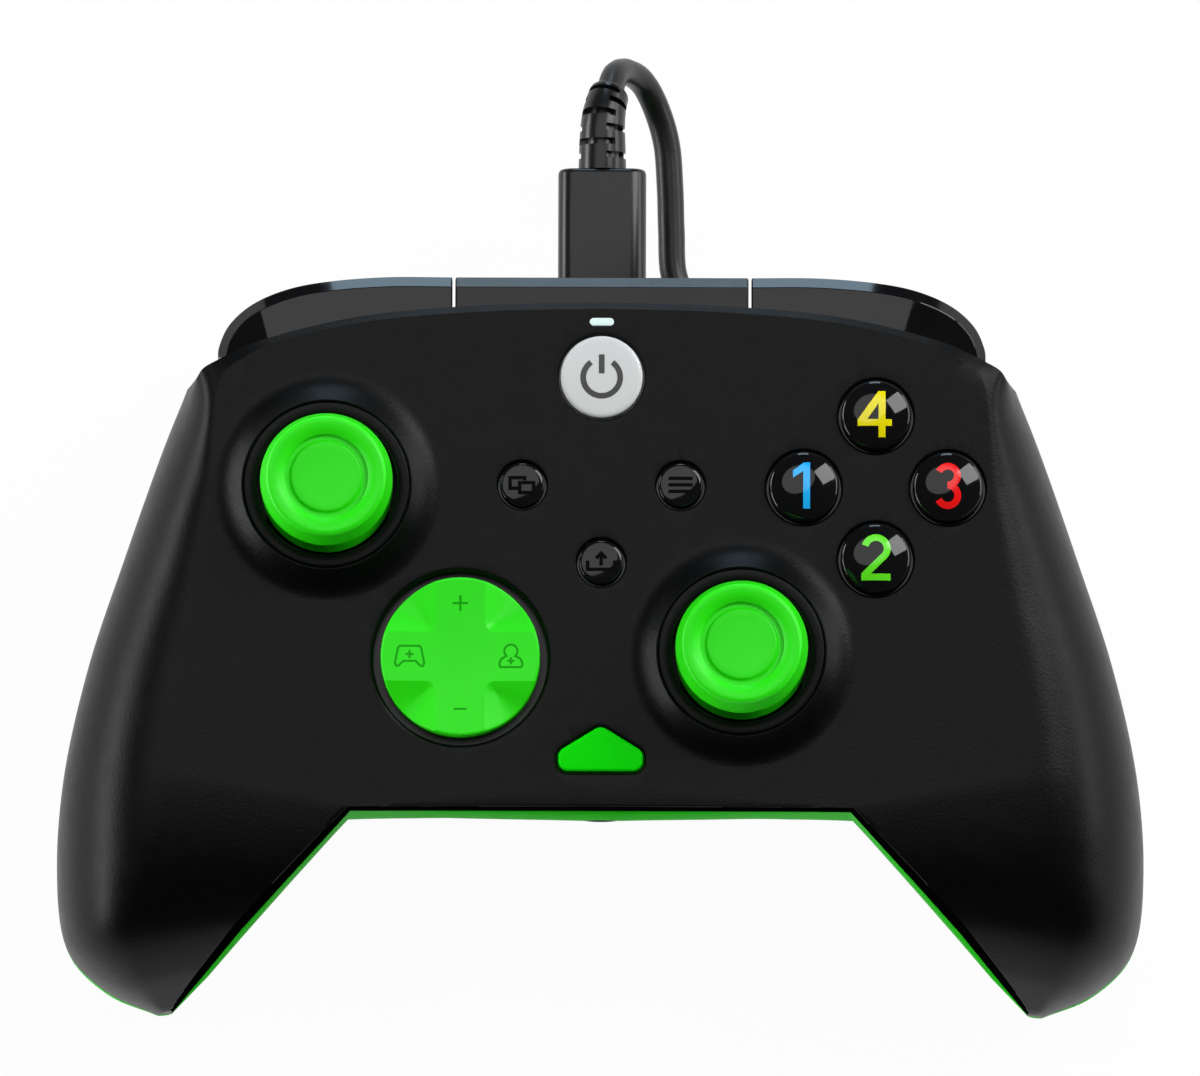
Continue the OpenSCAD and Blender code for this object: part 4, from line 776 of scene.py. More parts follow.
bridge_loops = []
for x, tuck in ((-BRIDGE_HALF, 0.22), (-BRIDGE_HALF + 0.07, 0.07), (-BRIDGE_HALF + 0.22, 0), (0, 0),
                (BRIDGE_HALF - 0.22, 0), (BRIDGE_HALF - 0.07, 0.07), (BRIDGE_HALF, 0.22)):
    section = band_profile(7.6 - 2 * tuck, REAR_RIM + tuck, BAND_TOP - tuck)
    bridge_loops.append([(x, BUMPER_Y - tuck - d, z) for d, z in section])
bridge = sweep("top_bridge_band", bridge_loops)
combine(bridge, [block("ears", (-26.4, 43.1, REAR_RIM), (26.4, 47.9, BAND_LOW - 0.3))], "UNION")
cuts = [bar_y("port", (12.9, 7.1), 2, 46, 52, PLUG_Z), bar_y("port", (9.4, 3.7), 1.2, 42, 51, PLUG_Z)]
cuts += [rod("bore", 1.21, 27, 37, (side * PIN_X, PIN_Y), 32) for side in (-1, 1)]
combine(bridge, cuts, "DIFFERENCE")
finish_piece(bridge, "root", satin_black, "satin_black", "top_bridge", angle=14)

BUMPER_OUTER = [(BUMPER_IN, 51), (30, 51), (38, 50.4), (44, 49.3), (49, 47.3), (52.3, 44.6), (53.8, 41.6), (54, 39.4)]
BUMPER_INNER = [(BUMPER_IN, 42.4), (30, 42.1), (36, 41.6), (41.5, 40.6), (47, 39.4), (49.3, 38.9),
                (50.6, 38.6), (51.5, 38.4)]
DROOP_START, DROOP_END, DROOP = 38.5, 54.0, 4.0


def bumper_top(x):
    t = clamp((abs(x) - DROOP_START) / (DROOP_END - DROOP_START))
    return BAND_TOP - DROOP * t ** 3


for side, word in ((-1, "left"), (1, "right")):
    loops = []
    lines = list(zip(through(BUMPER_OUTER, 10), through(BUMPER_INNER, 10)))
    tucks = {0: 0.2, 1: 0.06}
    for n, (o, i) in enumerate([lines[0], lines[0]] + lines):
        tuck = tucks.get(n, 0.0)
        slide = {0: 0.0, 1: 0.06, 2: 0.2}.get(n, 0.0)
        span = float(np.linalg.norm(i - o))
        d = (i - o) / span
        section = band_profile(span - 2 * tuck, BAND_LOW + tuck, bumper_top(o[0]) - tuck)
        loops.append([(side * (o[0] + slide + d[0] * (p + tuck)), o[1] + d[1] * (p + tuck), z) for p, z in section])
    bumper = sweep(word + "_bumper_band", loops)
    x0, x1 = sorted((side * 30, side * 44))
    combine(bumper, [rod("bore", 1.25, 30, 41.5, (side * PIN_X, PIN_Y), 32),
                     block("pocket", (x0, 38, 30), (x1, 46.4, 40.8))], "DIFFERENCE")
    finish_piece(bumper, word + "_bumper", gloss_black, "gloss_black", word + "_bumper", angle=14)

# Triggers: hooked levers with round edges and a finger hollow
TRIGGER_X, TRIGGER_W, TRIGGER_Y, TRIGGER_Z = 28.2, 21.6, 37.5, 27.0
HOOK = [(10.1, 3.2), (11.9, 1.6), (13, -1.5), (13.5, -5.5), (13.4, -10), (12.7, -14), (11.7, -17), (10.7, -18.2),
        (9.7, -18), (8.9, -16), (8.3, -12), (6.9, -8), (4.6, -4.9), (2, -3.2), (0, -3.2)]
EDGE_ROUND = 1.3


def hook_outline():
    line = [(float(p[0]), float(p[1])) for p in through(HOOK, 4)]
    for s in range(1, 12):
        a = math.radians(-90 - 180 * s / 12)
        line.append((3.2 * math.cos(a), 3.2 * math.sin(a)))
    return line + [(0.0, 3.2), (5.0, 3.2)]


def drawn_in(line, amount):
    """The outline moved in by an amount, square to its sides."""
    p = [np.array(q) for q in line]
    area = sum(a[0] * b[1] - b[0] * a[1] for a, b in zip(p, p[1:] + p[:1]))
    out = []
    for i in range(len(p)):
        d = p[(i + 1) % len(p)] - p[i - 1]
        d /= np.linalg.norm(d)
        n = np.array([-d[1], d[0]]) * (1 if area > 0 else -1)
        out.append(p[i] + n * amount)
    return out


for side, word in ((-1, "left"), (1, "right")):
    line = hook_outline()
    stations = [EDGE_ROUND * (1 - math.cos(math.pi / 2 * s / 5)) for s in range(6)]
    stations += [mix(EDGE_ROUND, TRIGGER_W - EDGE_ROUND, s / 16) for s in range(1, 16)]
    stations += [TRIGGER_W - EDGE_ROUND * (1 - math.cos(math.pi / 2 * s / 5)) for s in range(5, -1, -1)]
    loops = []
    for x in stations:
        near = min(x, TRIGGER_W - x)
        short = max(0.0, EDGE_ROUND - near)
        amount = EDGE_ROUND - math.sqrt(max(0.0, EDGE_ROUND ** 2 - short ** 2))
        bend = 1.5 * max(0.0, (x / TRIGGER_W - 0.45) / 0.55) ** 1.7
        hollow = 0.35 * (1 - ((x - TRIGGER_W / 2) / (TRIGGER_W / 2)) ** 2)
        loop = []
        for y, z in drawn_in(line, amount):
            out = clamp(y / 13.5)
            y = y - bend * out - (hollow * out if -17 < z < 0 and y > 9 else 0)
            loop.append((side * (TRIGGER_X + x), TRIGGER_Y + y, TRIGGER_Z + z))
        loops.append(loop)
    trigger = sweep(word + "_trigger_lever", loops)
    x0, x1 = sorted((side * (TRIGGER_X + TRIGGER_W - 4.6), side * (TRIGGER_X + TRIGGER_W + 1)))
    a, b = sorted((side * 27, side * 51))
    bore = rod_x("bore", 1.25, a, b, TRIGGER_Y, TRIGGER_Z, 32)
    room = block("room", (x0, TRIGGER_Y - 5, TRIGGER_Z - 5), (x1, TRIGGER_Y + 4, TRIGGER_Z + 5))
    combine(trigger, [bore, room], "DIFFERENCE")
    finish_piece(trigger, word + "_trigger", gloss_black, "gloss_black", word + "_trigger", angle=38)
    coil = []
    for n in range(3 * 24 + 1):
        a = 2 * math.pi * n / 24
        coil.append((side * (TRIGGER_X + TRIGGER_W - 3.9 + 1.1 * n / 24), TRIGGER_Y + 1.75 * math.cos(a),
                     TRIGGER_Z + 1.75 * math.sin(a)))
    wire = [[tuple(p + 0.35 * (math.cos(t) * u + math.sin(t) * v)) for t in (2 * math.pi * s / 10 for s in range(10))]
            for p, u, v in frames_along(coil, (1, 0, 0))]
    finish_piece(sweep(word + "_spring_wire", wire), "root", steel, "steel", word + "_trigger_spring")

# Sticks: wear ring, and a cap with its neck and skirt
CAP_R, CAP_Z, CAP_H, PIVOT_Z, SKIRT_R = 9.28, 54.3, 5.7, 37.5, 12.4
SKIRT_TURN, SKIRT_T, NECK_R = 48, 1.2, 4


def arc(cx, cz, r, a0, a1, steps):
    return [(cx + r * math.cos(math.radians(a)), cz + r * math.sin(math.radians(a))) for a in
            (mix(a0, a1, s / steps) for s in range(steps + 1))]


for place, word in ((LEFT_STICK, "left"), (RIGHT_STICK, "right")):
    lip = FACE + COLLAR_H - 0.25
    ring = revolve(word + "_wear_ring", [
        (RING_BORE, FACE - 0.9), (RING_R - 0.5, FACE - 0.9), (RING_R - 0.5, FACE - 3), (RING_R + 1.2, FACE - 3),
        (RING_R + 1.2, FACE - 2), (RING_R, FACE - 2), (RING_R, lip - 0.25), (RING_R - 0.08, lip - 0.07),
        (RING_R - 0.25, lip), (RING_R - 0.8, lip - 0.03), (RING_R - 1.3, lip - 0.08), (RING_BORE + 0.25, lip - 0.14),
        (RING_BORE, lip - 0.4)], place, 128)
    finish_piece(ring, "root", black_shell, "gloss_black", word + "_stick_ring")
    neck_turn = math.degrees(math.asin(NECK_R / SKIRT_R))
    skirt = [(SKIRT_R * math.sin(math.radians(a)), PIVOT_Z + SKIRT_R * math.cos(math.radians(a))) for a in
             (mix(SKIRT_TURN, neck_turn, s / 24) for s in range(25))]
    under = [(x * (SKIRT_R - SKIRT_T) / SKIRT_R, PIVOT_Z + (z - PIVOT_Z) * (SKIRT_R - SKIRT_T) / SKIRT_R)
             for x, z in reversed(skirt)]
    top = CAP_Z + CAP_H
    cap = [(0, CAP_Z + 2.2), (1.71, CAP_Z + 2.2), (1.71, under[0][1] - 0.2), (2.6, under[0][1] - 0.2)]
    cap += under + skirt
    cap += [(3.95, CAP_Z - 1.2)] + arc(4.75, CAP_Z - 0.8, 0.8, 180, 90, 5)
    cap += [(CAP_R - 0.9, CAP_Z)] + arc(CAP_R - 0.75, CAP_Z + 0.75, 0.75, -90, 0, 7)
    cap += [(CAP_R - 0.04, CAP_Z + 1.5), (CAP_R - 0.35, CAP_Z + 2.8), (CAP_R - 0.7, CAP_Z + 4.3)]
    cap += arc(CAP_R - 1.55, top - 0.75, 0.75, 12, 98, 8)
    cap += [(CAP_R - 2.3, top - 0.1), (CAP_R - 2.9, top - 0.38), (CAP_R - 3.4, top - 0.78)]
    cap += [(6.05, top - 1.0), (5.95, top - 1.18), (5.75, top - 1.28), (5.3, top - 1.28),
            (5.1, top - 1.24), (5.0, top - 1.12)]
    cap += [(4.9, top - 1.0), (4.7, top - 0.95), (3.8, top - 1.02), (2.4, top - 1.1),
            (1.2, top - 1.13), (0, top - 1.14)]
    finish_piece(revolve(word + "_stick_top", cap, place, 160), word + "_stick", green_control, "green_control",
                 word + "_stick_cap", angle=40)

# Direction pad: a dished cross with four scooped corners between its arms
PAD_TOP, ARM, SCOOP, DISH, PAD_ROUND = FACE + 2.4, 3.45, 0.5, 0.5, 0.35
FLANGE_Z = 42.1
PAD_EDGE = PAD_R - PAD_ROUND
FILLET_STEPS, ALONG = 3, 14
FILLET = FILLET_STEPS / ALONG * (math.sqrt(PAD_EDGE ** 2 - ARM ** 2) - ARM)


def pad_height(x, y):
    u, v = max(abs(x) - ARM, 0.0), max(abs(y) - ARM, 0.0)
    scoop = max(FILLET - math.hypot(max(FILLET - u, 0.0), max(FILLET - v, 0.0)), 0.0)
    u, v = u - FILLET, v - FILLET
    if u > 0 and v > 0:
        scoop += u * v / math.hypot(u, v)
    return PAD_TOP - DISH * (1 - (x * x + y * y) / PAD_R ** 2) - SCOOP * scoop


def pad_mesh():
    verts, faces = [], []

    def patch(count_u, count_v, point):
        first = len(verts)
        for i in range(count_u + 1):
            for j in range(count_v + 1):
                x, y = point(i / count_u, j / count_v)
                verts.append((x + PAD[0], y + PAD[1], pad_height(x, y)))
        for i in range(count_u):
            for j in range(count_v):
                a, b = first + i * (count_v + 1) + j, first + (i + 1) * (count_v + 1) + j
                faces.append((a, b, b + 1, a + 1))
    edge = PAD_EDGE
    across, along, fan = 12, ALONG, 16
    patch(across, across, lambda u, v: (ARM * (2 * u - 1), ARM * (2 * v - 1)))
    half_turn = math.asin(ARM / edge)

    def turned(x, y, q):
        for _ in range(q):
            x, y = -y, x
        return x, y

    def arm_point(q):
        def point(u, v):
            a = half_turn * (1 - 2 * u)
            x0, y0 = ARM, ARM * (2 * u - 1)
            x1, y1 = edge * math.cos(a), -edge * math.sin(a)
            return turned(mix(x0, x1, v), mix(y0, y1, v), q)
        return point

    def scoop_point(q):
        def point(u, v):
            a, b = mix(half_turn, math.pi / 2 - half_turn, u), math.pi / 2 * u
            x0, y0 = ARM + FILLET * (1 - math.sin(b)), ARM + FILLET * (1 - math.cos(b))
            f = v * along / FILLET_STEPS
            if f <= 1:
                return turned(mix(ARM, x0, f), mix(ARM, y0, f), q)
            f = (v * along - FILLET_STEPS) / (along - FILLET_STEPS)
            return turned(mix(x0, edge * math.cos(a), f), mix(y0, edge * math.sin(a), f), q)
        return point
    rim = []
    for q in range(4):
        patch(across, along, arm_point(q))
        patch(fan, along, scoop_point(q))
    for q in range(4):
        turns = [half_turn * (2 * s / across - 1) for s in range(across)]
        turns += [mix(half_turn, math.pi / 2 - half_turn, s / fan) for s in range(fan)]
        rim += [t + q * math.pi / 2 for t in turns]
    first = len(verts)
    levels = [(edge + PAD_ROUND * math.sin(a), PAD_ROUND * (1 - math.cos(a))) for a in
              (math.pi / 2 * s / 4 for s in range(5))]
    levels.append((PAD_R, None))
    for r, drop in levels:
        for a in rim:
            z = FLANGE_Z + 1.3 if drop is None else pad_height(edge * math.cos(a), edge * math.sin(a)) - drop
            verts.append((PAD[0] + r * math.cos(a), PAD[1] + r * math.sin(a), z))
    n = len(rim)
    for k in range(len(levels) - 1):
        for s in range(n):
            t = (s + 1) % n
            faces.append((first + k * n + s, first + k * n + t, first + (k + 1) * n + t, first + (k + 1) * n + s))
    faces.append(tuple(first + (len(levels) - 1) * n + s for s in range(n)))
    return outward(new_mesh("dpad_disc", verts, faces))


def ring_line(cx, cy, r, a0=0.0, a1=360.0, steps=24):
    return [(cx + r * math.cos(math.radians(a)), cy + r * math.sin(math.radians(a))) for a in
            (mix(a0, a1, s / steps) for s in range(steps + 1))]


GAMEPAD_SIGN = [(-1.39, 1.46), (1.39, 1.46), (1.62, 1.2), (2.05, -0.95), (1.88, -1.36), (1.55, -1.36), (0.85, -0.66),
                (-0.85, -0.66), (-1.55, -1.36), (-1.88, -1.36), (-2.05, -0.95), (-1.62, 1.2)]
PERSON_SIGN = ring_line(0, 0.75, 0.92, -48, 228, 24) + [
    (-1.3, -0.3), (-1.58, -0.8), (-1.6, -1.3), (-1.4, -1.5), (1.4, -1.5), (1.6, -1.3), (1.58, -0.8), (1.3, -0.3)]
SIGN_REACH, SIGN_W, SIGN_DEEP = 7.1, 0.3, 0.3


def moved(line, dx, dy=0.0):
    return [(x + dx, y + dy) for x, y in line]


def plus_sign(x, y, half):
    return [[([(x - half, y), (x + half, y)], False)], [([(x, y - half), (x, y + half)], False)]]


dpad_signs = plus_sign(0, 7.5, 1.1) + [[([(-0.9, -7.4), (0.9, -7.4)], False)]]
dpad_signs += [[(moved(GAMEPAD_SIGN, -SIGN_REACH), True)]] + plus_sign(-SIGN_REACH, 0.3, 0.55)
dpad_signs += [[(moved(PERSON_SIGN, SIGN_REACH), True)]] + plus_sign(SIGN_REACH, -0.62, 0.5)


def engraved(obj, name, signs, width, height, deep, place, body, fill_material):
    """Cuts the signs into a piece and lays a fill of the given material in the grooves; on the D-pad that darker green
    is painted shade.
    """
    combine(obj, [strokes("sign", s, width, height, deep, place) for s in signs], "DIFFERENCE")
    fill = [strokes(name, s, width, lambda x, y: height(x, y) - 0.06, deep - 0.1, place) for s in signs]
    if fill[1:]:
        combine(fill[0], fill[1:], "UNION")
    filled_with(fill[0], body, fill_material)


def filled_with(obj, body, fill_material):
    obj.data.materials.clear()
    obj.data.materials.append(fill_material)
    for face in obj.data.polygons:
        face.material_index = 0
    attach(obj, body)


pad = pad_mesh()
# The darker green in the D-pad's sign grooves is painted shade
engraved(pad, "dpad_sign_shade", dpad_signs, SIGN_W, pad_height, SIGN_DEEP, PAD, "dpad", groove_shade_green)
finish_piece(pad, "dpad", green_control, "green_control", "dpad", angle=14)
flange = revolve("dpad_flange", [(0, FLANGE_Z + 0.5), (2.5, FLANGE_Z + 0.5), (2.5, FLANGE_Z), (PAD_R + 1.75, FLANGE_Z),
                                 (PAD_R + 1.75, FLANGE_Z + 1.28), (0, FLANGE_Z + 1.28)], PAD, 96)
stubs = []
for q in range(4):
    a = math.pi / 2 * q
    stubs.append(rod("stub", 1.4, 37, FLANGE_Z + 0.2, (PAD[0] + 7.4 * math.cos(a), PAD[1] + 7.4 * math.sin(a)), 32))
combine(flange, stubs, "UNION")
finish_piece(flange, "dpad", satin_black, "satin_black")

# Buttons
FLANGE_TOP, FLANGE_LOW, DOME_Z = 44.7, 43.2, 37.0
FACE_TOP, DOME_H, SHOULDER = FACE + 3, 1.4, 4.6
BALL = (FACE_R ** 2 + DOME_H ** 2) / (2 * DOME_H)


def dome_height(x, y):
    return FACE_TOP - BALL + math.sqrt(BALL ** 2 - x * x - y * y)


def stem_profile(stem_r, flange_r):
    return [(0, DOME_Z), (stem_r, DOME_Z), (stem_r, FLANGE_LOW), (flange_r, FLANGE_LOW), (flange_r, FLANGE_TOP)]


def prism(name, outline, low, high, place):
    return sweep(name, [[(x + place[0], y + place[1], z) for x, y in outline] for z in (low, high)])


def ribbon(line, width):
    """Outline of a stroke along a line."""
    p = fine(line, False)
    left, right = [], []
    for i in range(len(p)):
        d = p[min(i + 1, len(p) - 1)] - p[max(i - 1, 0)]
        side = np.array([-d[1], d[0]]) * width / 2 / np.linalg.norm(d)
        left.append(p[i] + side)
        right.append(p[i] - side)
    return left + right[::-1]


def box_outline(x0, y0, x1, y1):
    return [(x0, y0), (x1, y0), (x1, y1), (x0, y1)]


NUMBER_W, NUMBER_BOX = 0.96, (-2.05, -3.25, 2.4, 3.4)
ONE = [(0.85, 3.25), (0, 3.25), (-1.55, 2.1), (-1.55, 1.05), (-0.12, 2), (-0.12, -3.25), (0.85, -3.25)]
TWO = [ribbon(ring_line(0, 1.2, 1.57, 165, -38, 20) + [(-2.4, -3.3)], NUMBER_W), box_outline(-2.05, -3.25, 2.05, -2.32)]
THREE = [ribbon(ring_line(-0.05, 1.42, 1.35, 155, -92, 24), NUMBER_W),
         ribbon(ring_line(-0.05, -1.38, 1.4, 92, -155, 24), NUMBER_W)]
FOUR = [(0.3, 3.25), (1.3, 3.25), (1.3, -0.75), (2.2, -0.75), (2.2, -1.68), (1.3, -1.68), (1.3, -3.25), (0.33, -3.25),
        (0.33, -1.68), (-2.6, -1.68), (-2.6, -0.8)]
FOUR_HOLE = [(0.33, 1.5), (0.33, -0.75), (-1.25, -0.75)]
NUMERALS = {
    "left": (ink_blue, [ONE], None, None), "bottom": (ink_green, TWO, None, NUMBER_BOX),
    "right": (ink_red, THREE, None, None), "top": (ink_yellow, [FOUR], FOUR_HOLE, None),
}


def numeral(word, place):
    """A number laid into the dome: its outlines, cut to a thin layer that follows the surface."""
    fill_material, outlines, gap, box = NUMERALS[word]
    low, high = FACE_TOP - DOME_H - 1, FACE_TOP + 1
    parts = [prism(word + "_button_number", outline, low, high, place) for outline in outlines]
    sign = parts[0]
    if parts[1:]:
        combine(sign, parts[1:], "UNION")
    if gap:
        combine(sign, [prism("gap", gap, low - 1, high + 1, place)], "DIFFERENCE")
    if box:
        combine(sign, [prism("box", box_outline(*box), low - 1, high + 1, place)], "INTERSECT")
    radii = [mix(0, 4.4, s / 22) for s in range(23)]
    layer = [(r, dome_height(r, 0) - 0.2) for r in radii] + [(r, dome_height(r, 0) + 0.03) for r in reversed(radii)]
    combine(sign, [revolve("layer", layer, place, 96)], "INTERSECT")
    filled_with(sign, word + "_button", fill_material)


for word, turn in (("right", 0), ("top", 90), ("left", 180), ("bottom", 270)):
    place = face_button_place(turn)
    swell = [(r, dome_height(r, 0)) for r in (mix(SHOULDER, 0, s / 18) for s in range(19))]
    side = dome_height(SHOULDER, 0)
    body = stem_profile(2.4, FACE_R + 1) + [(FACE_R, FLANGE_TOP), (FACE_R, side - 0.75), (FACE_R - 0.04, side - 0.5),
                                            (FACE_R - 0.14, side - 0.22)] + swell
    button = revolve(word + "_button_dome", body, place, 128)
    finish_piece(button, word + "_button", gloss_black, "gloss_black", word + "_button")
    numeral(word, place)


def disc_height(top, r, swell):
    return lambda x, y: top - swell * (x * x + y * y) / (r * r)


def flat_button(name, place, r, swell, stem, body, material, slot, node_name, signs, sign_w, stem_back=0.0):
    top = FACE + 1
    height = disc_height(top, r, swell)
    rounding = 0.45
    crown = [(q, height(q, 0)) for q in (mix(r - rounding, 0, s / 10) for s in range(11))]
    edge = height(r - rounding, 0)
    profile = stem_profile(stem, r + 1)[3 if stem_back else 0:]
    profile += [(r, FLANGE_TOP), (r, edge - rounding), (r - 0.06, edge - 0.22), (r - 0.2, edge - 0.07)]
    if stem_back:
        profile = [(0, FLANGE_LOW)] + profile
    button = revolve(name, profile + crown, place, 96)
    if stem_back:
        combine(button, [rod("stem", stem, DOME_Z, FLANGE_LOW + 0.2, (place[0], place[1] - stem_back))], "UNION")
    if signs:
        engraved(button, body + "_sign", signs, sign_w, height, 0.22, place, body, ink_black)
    return finish_piece(button, body, material, slot, node_name)


def box_line(x0, y0, x1, y1):
    return (box_outline(x0, y0, x1, y1), True)


SMALL_SIGNS = {
    "view": [[([(-0.55, -0.55), (-1.7, -0.55), (-1.7, 0.95), (0.35, 0.95), (0.35, 0.55)], False)],
             [box_line(-0.35, -1.15, 1.6, 0.25)]],
    "menu": [[([(-1.7, y), (1.7, y)], False)] for y in (0.92, 0, -0.92)],
    "share": [[([(-1.9, 0.2), (-1.9, -1.05), (1.9, -1.05), (1.9, 0.2)], False)], [([(0, -0.5), (0, 1.05)], False)],
              [([(-0.7, 0.5), (0, 1.25), (0.7, 0.5)], False)]],
}
for word, place in zip(("view", "menu", "share"), SMALLS):
    flat_button(word + "_button_top", place, SMALL_R, 0.3, 1.8, word + "_button", gloss_black, "gloss_black",
                word + "_button", SMALL_SIGNS[word], 0.5)
HOME_SWELL = 0.25
flat_button("home_button_disc", HOME, HOME_R, HOME_SWELL, 2.4, "home_button", home_grey, "home_grey", "home_button",
            None, 0, stem_back=2.5)
home_height = disc_height(FACE + 1, HOME_R, HOME_SWELL)
power = strokes("home_button_sign", [(ring_line(0, -0.15, 2.6, 125, 415, 48), False)], 0.8, home_height, 0.2, HOME)
combine(power, [strokes("sign", [([(0, 0.4), (0, 3.1)], False)], 0.8, home_height, 0.2, HOME)], "UNION")
filled_with(power, "home_button", ink_dark)
levels = [(1.0, FLANGE_LOW), (1.0, FLANGE_TOP), (0.0, FLANGE_TOP), (0.0, FACE + 0.62)]
levels += [(-0.38 * (1 - math.cos(a)), FACE + 0.62 + 0.38 * math.sin(a)) for a in
           (math.pi / 2 * s / 5 for s in range(1, 6))]
function = layered("function_button_top", function_outline, levels, FUNCTION)
stems = [rod("stem", 1.2, DOME_Z, FLANGE_LOW + 0.2, (x, FUNCTION[1] - 1.5), 32) for x in (-4.8, 4.8)]
combine(function, stems, "UNION")
finish_piece(function, "function_button", green_bright, "green_control", "function_button")
levels = [(0, FACE - 3), (0, FACE + 0.05), (-0.06, FACE + 0.12), (-0.2, FACE + 0.14)]
finish_piece(layered("status_light_lens", light_outline, levels, LIGHT), "root", lens, "light_lens", "status_light")

# Near plug, with its strain relief
plug_sections = []
for y, tuck in ((46.4, 0.25), (46.6, 0.05), (46.8, 0), (55, 0), (66.5, 0), (66.9, 0.12), (67.1, 0.32), (67.2, 0.6)):
    plug_sections.append([(x, y, PLUG_Z + h) for x, h in rounded_rect(12.4 - 2 * tuck, 6.6 - 2 * tuck, 2.4 - tuck, 10)])
plug = sweep("usb_plug_body", plug_sections)
combine(plug, [bar_y("tongue", (8.25, 2.35), 0.9, 39.4, 47, PLUG_Z)], "UNION")
finish_piece(plug, "root", satin_black, "satin_black", "usb_plug")

RELIEF_STRAIGHT, RELIEF_BEND, RELIEF_TURN, RELIEF_TILT, RELIEF_R = 5.0, 10.2, 38.0, 28.1, 3.35
relief_total = RELIEF_STRAIGHT + RELIEF_BEND * math.radians(RELIEF_TURN)


def relief_frame(s):
    """Point on the middle of the strain relief at a distance, with the directions across and up."""
    if s <= RELIEF_STRAIGHT:
        p, up = np.array([0, s, 0.0]), np.array([0, 0, 1.0])
    else:
        a = (s - RELIEF_STRAIGHT) / RELIEF_BEND
        p = np.array([0, RELIEF_STRAIGHT + RELIEF_BEND * math.sin(a), -RELIEF_BEND * (1 - math.cos(a))])
        up = np.array([0, math.sin(a), math.cos(a)])
    side = np.array([1.0, 0, 0])
    t = math.radians(-RELIEF_TILT)
    tilt = np.array([[math.cos(t), 0, math.sin(t)], [0, 1, 0], [-math.sin(t), 0, math.cos(t)]])
    return tilt @ p + np.array([0, 67.2, PLUG_Z]), tilt @ side, tilt @ up


SLOTS = [(1.55, 2.45, 1), (3.45, 4.35, 0), (5.35, 6.2, 1), (7.2, 8.0, 0), (8.95, 9.7, 1), (10.4, 11.0, 0)]


def relief_radius(s, turn):
    """Outer radius at a distance and an angle from the top: slots lie in turn on the sides and on top and below."""
    r = mix(RELIEF_R, RELIEF_R - 0.55, clamp(s / relief_total) ** 1.5)
    if s > relief_total - 0.5:
        r -= 0.5 - math.sqrt(max(0.0, 0.25 - (s - relief_total + 0.5) ** 2))
    c = abs(math.cos(turn))
    for a, b, sideways in SLOTS:
        if a < s < b:
            inside = c < math.cos(math.radians(38)) if sideways else c > math.cos(math.radians(62))
            if inside:
                return r - 1.0
    return r


stops = {0.0, relief_total}
for a, b, _ in SLOTS:
    stops |= {a - 0.001, a + 0.03, b - 0.03, b + 0.001}
stops |= {relief_total - 0.5 + 0.1 * n for n in range(5)}
stops |= {mix(0, relief_total, n / 30) for n in range(30)}
relief_loops = []
SLOT_EDGES = (38, 62, 118, 142, 218, 242, 298, 322)
TURNS = sorted({2 * math.pi * n / 72 for n in range(72)} |
               {math.radians(b + d) for b in SLOT_EDGES for d in (-0.4, 0.4)})
for s in sorted(stops):
    p, across, up = relief_frame(s)
    relief_loops.append([tuple(p + relief_radius(s, a) * (math.cos(a) * up + math.sin(a) * across)) for a in TURNS])
finish_piece(sweep("plug_relief_sleeve", relief_loops), "root", satin_black, "satin_black", "plug_relief", angle=40)

# Far plug on the coil's side, and the tie round the coil
FAR_X, FAR_Z, FAR_Y = 39.0, 7.95, 21.0


def far_section(y, w, h, r):
    return [(FAR_X + x, y, FAR_Z + z) for x, z in rounded_rect(w, h, r, 8)]


body_sections = [far_section(FAR_Y, 5.0, 5.0, 2.49), far_section(FAR_Y - 0.3, 5.5, 5.5, 2.74)]
for n in range(6):
    y = FAR_Y - 0.8 - 1.0 * n
    w = 5.6 + 0.22 * n
    for back, thin, less in ((0, 0, 0.01), (0.55, 0, 0.01), (0.6, 0.9, 0.46), (0.95, 0.9, 0.46)):
        body_sections.append(far_section(y - back, w - thin, w - thin, w / 2 - less))
for back, w, h, r in ((7.0, 7.0, 13.2, 1.6), (7.15, 7.6, 15.0, 1.7), (7.6, 8, 15.8, 1.8),
                      (29.4, 8, 15.8, 1.8), (29.85, 7.7, 15.3, 1.7), (30, 7.2, 14.6, 1.6)):
    body_sections.append(far_section(FAR_Y - back, w, h, r))
far_body = sweep("far_plug_grip", body_sections)
finish_piece(far_body, "root", satin_black, "satin_black", "far_plug")
far_shell = sweep("far_plug_shell", [far_section(y, 4.5, 12, 0.5) for y in (FAR_Y - 29.8, FAR_Y - 35, FAR_Y - 41.5)])
combine(far_shell, [sweep("mouth", [far_section(y, 3.9, 11.4, 0.4) for y in (FAR_Y - 33, FAR_Y - 43)])], "DIFFERENCE")
windows = [block("window", (FAR_X - 4, FAR_Y - 37.4, FAR_Z + z - 1.1), (FAR_X + 4, FAR_Y - 34.9, FAR_Z + z + 1.1))
           for z in (-2.9, 2.9)]
combine(far_shell, windows, "DIFFERENCE")
finish_piece(far_shell, "root", steel, "steel")
far_tongue = block("far_plug_tongue", (FAR_X + 0.1, FAR_Y - 41, FAR_Z - 5.3), (FAR_X + 1.8, FAR_Y - 32.8, FAR_Z + 5.3))
finish_piece(bevel(far_tongue, 0.2, 2), "root", inner_plastic, "inner_plastic")

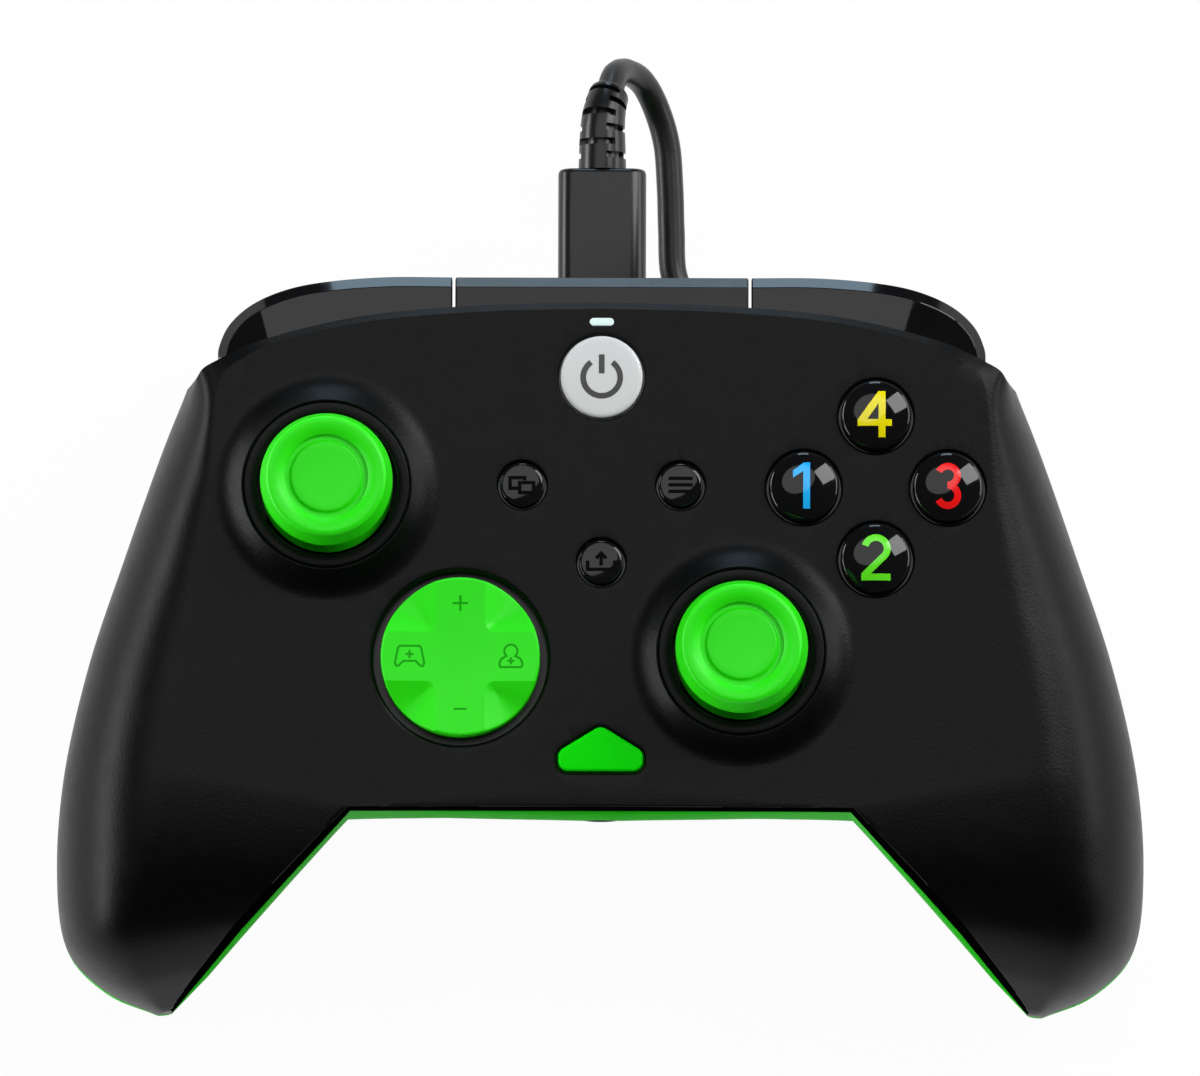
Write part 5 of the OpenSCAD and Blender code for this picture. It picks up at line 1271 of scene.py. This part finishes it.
tie_x0, tie_x1 = -COIL_OUT - CABLE_D / 2 - 0.8, -COIL_IN + CABLE_D / 2 + 0.8
tie_z0, tie_z1 = COIL_Z - CABLE_D / 2 - 0.5, COIL_Z + 3 * COIL_LAYER + CABLE_D / 2 + 0.8
tie_mid = ((tie_x0 + tie_x1) / 2, (tie_z0 + tie_z1) / 2)
tie_loops = []
for grow, y in ((0.4, 15.0), (0.4, 23.0), (-0.4, 23.0), (-0.4, 15.0)):
    outline = rounded_rect(tie_x1 - tie_x0 + 2 * grow, tie_z1 - tie_z0 + 2 * grow, 2.2 + grow, 8)
    tie_loops.append([(tie_mid[0] + x, y, tie_mid[1] + z) for x, z in outline])
tie = sweep("cable_tie_strap", tie_loops + [tie_loops[0]], closed_ends=False)
bevel(tie, 0.15, 2, 50)
finish_piece(tie, "root", jacket, "cable", "cable_tie")

# Floor and light
FLOOR_HALF, SELF_LIT = 4000, 0.96
corners = box_outline(-FLOOR_HALF, -FLOOR_HALF, FLOOR_HALF, FLOOR_HALF)
floor = new_mesh("floor", [(x, y, 0) for x, y in corners], [(0, 1, 2, 3)])
paper, tree, bsdf = shader("paper")
bsdf.inputs["Base Color"].default_value = (0.86, 0.86, 0.86, 1)
bsdf.inputs["Roughness"].default_value = 0.9
bsdf.inputs["Specular IOR Level"].default_value = 0.1
rays = tree.nodes.new("ShaderNodeLightPath")
glow = node(tree, "ShaderNodeEmission", Color=(1, 1, 1, 1), Strength=1.0)
seen = maths(tree, "ADD", rays.outputs["Is Camera Ray"], rays.outputs["Is Glossy Ray"])
seen = maths(tree, "ADD", seen, rays.outputs["Is Transmission Ray"], clamped=True)
share = maths(tree, "MULTIPLY", seen, SELF_LIT)
blend_node = tree.nodes.new("ShaderNodeMixShader")
tree.links.new(share, blend_node.inputs[0])
tree.links.new(bsdf.outputs[0], blend_node.inputs[1])
tree.links.new(glow.outputs[0], blend_node.inputs[2])
tree.links.new(blend_node.outputs[0], tree.nodes["Material Output"].inputs["Surface"])
floor.data.materials.append(paper)


def softbox(name, place, aim, size, level, colour=(1, 1, 1), shape="RECTANGLE", mirrored=True):
    """An area lamp that shines at a given level: 1 shows as white."""
    lamp = bpy.data.lights.new(name, "AREA")
    lamp.shape = shape
    lamp.size, lamp.size_y = size
    area = size[0] * size[1] * (math.pi / 4 if shape == "ELLIPSE" else 1)
    lamp.energy = level * math.pi * area
    lamp.color = colour
    obj = bpy.data.objects.new(name, lamp)
    obj.location = place
    obj.rotation_mode = "QUATERNION"
    obj.rotation_quaternion = (Vector(aim) - Vector(place)).to_track_quat("-Z", "Y")
    obj.visible_glossy = mirrored
    scene.collection.objects.link(obj)


TARGET = (0, 0.015, 0.04)
softbox("overhead", (-0.26, 0.52, 1.65), TARGET, (1.85, 1.5), 1.72, shape="ELLIPSE")
softbox("left_low", (-1.3, 0.0, 0.22), TARGET, (1.6, 0.4), 8.5)
softbox("right_key", (0.82, 0.62, 0.9), TARGET, (0.62, 0.8), 8.0)
softbox("right_low", (1.25, 0.4, 0.3), TARGET, (1.2, 0.45), 4.6)
softbox("back_cool", (0, 1.5, 0.3), TARGET, (0.42, 0.6), 6.6, (0.58, 0.81, 1.0))
softbox("front_fill", (0, -1.4, 0.5), TARGET, (1.2, 0.5), 1.9, mirrored=False)
world = bpy.data.worlds.new("studio")
world.use_nodes = True
world.node_tree.nodes["Background"].inputs["Color"].default_value = (0.9, 0.92, 0.95, 1)
world.node_tree.nodes["Background"].inputs["Strength"].default_value = 0.03
scene.world = world

scene.view_settings.view_transform = "Standard"
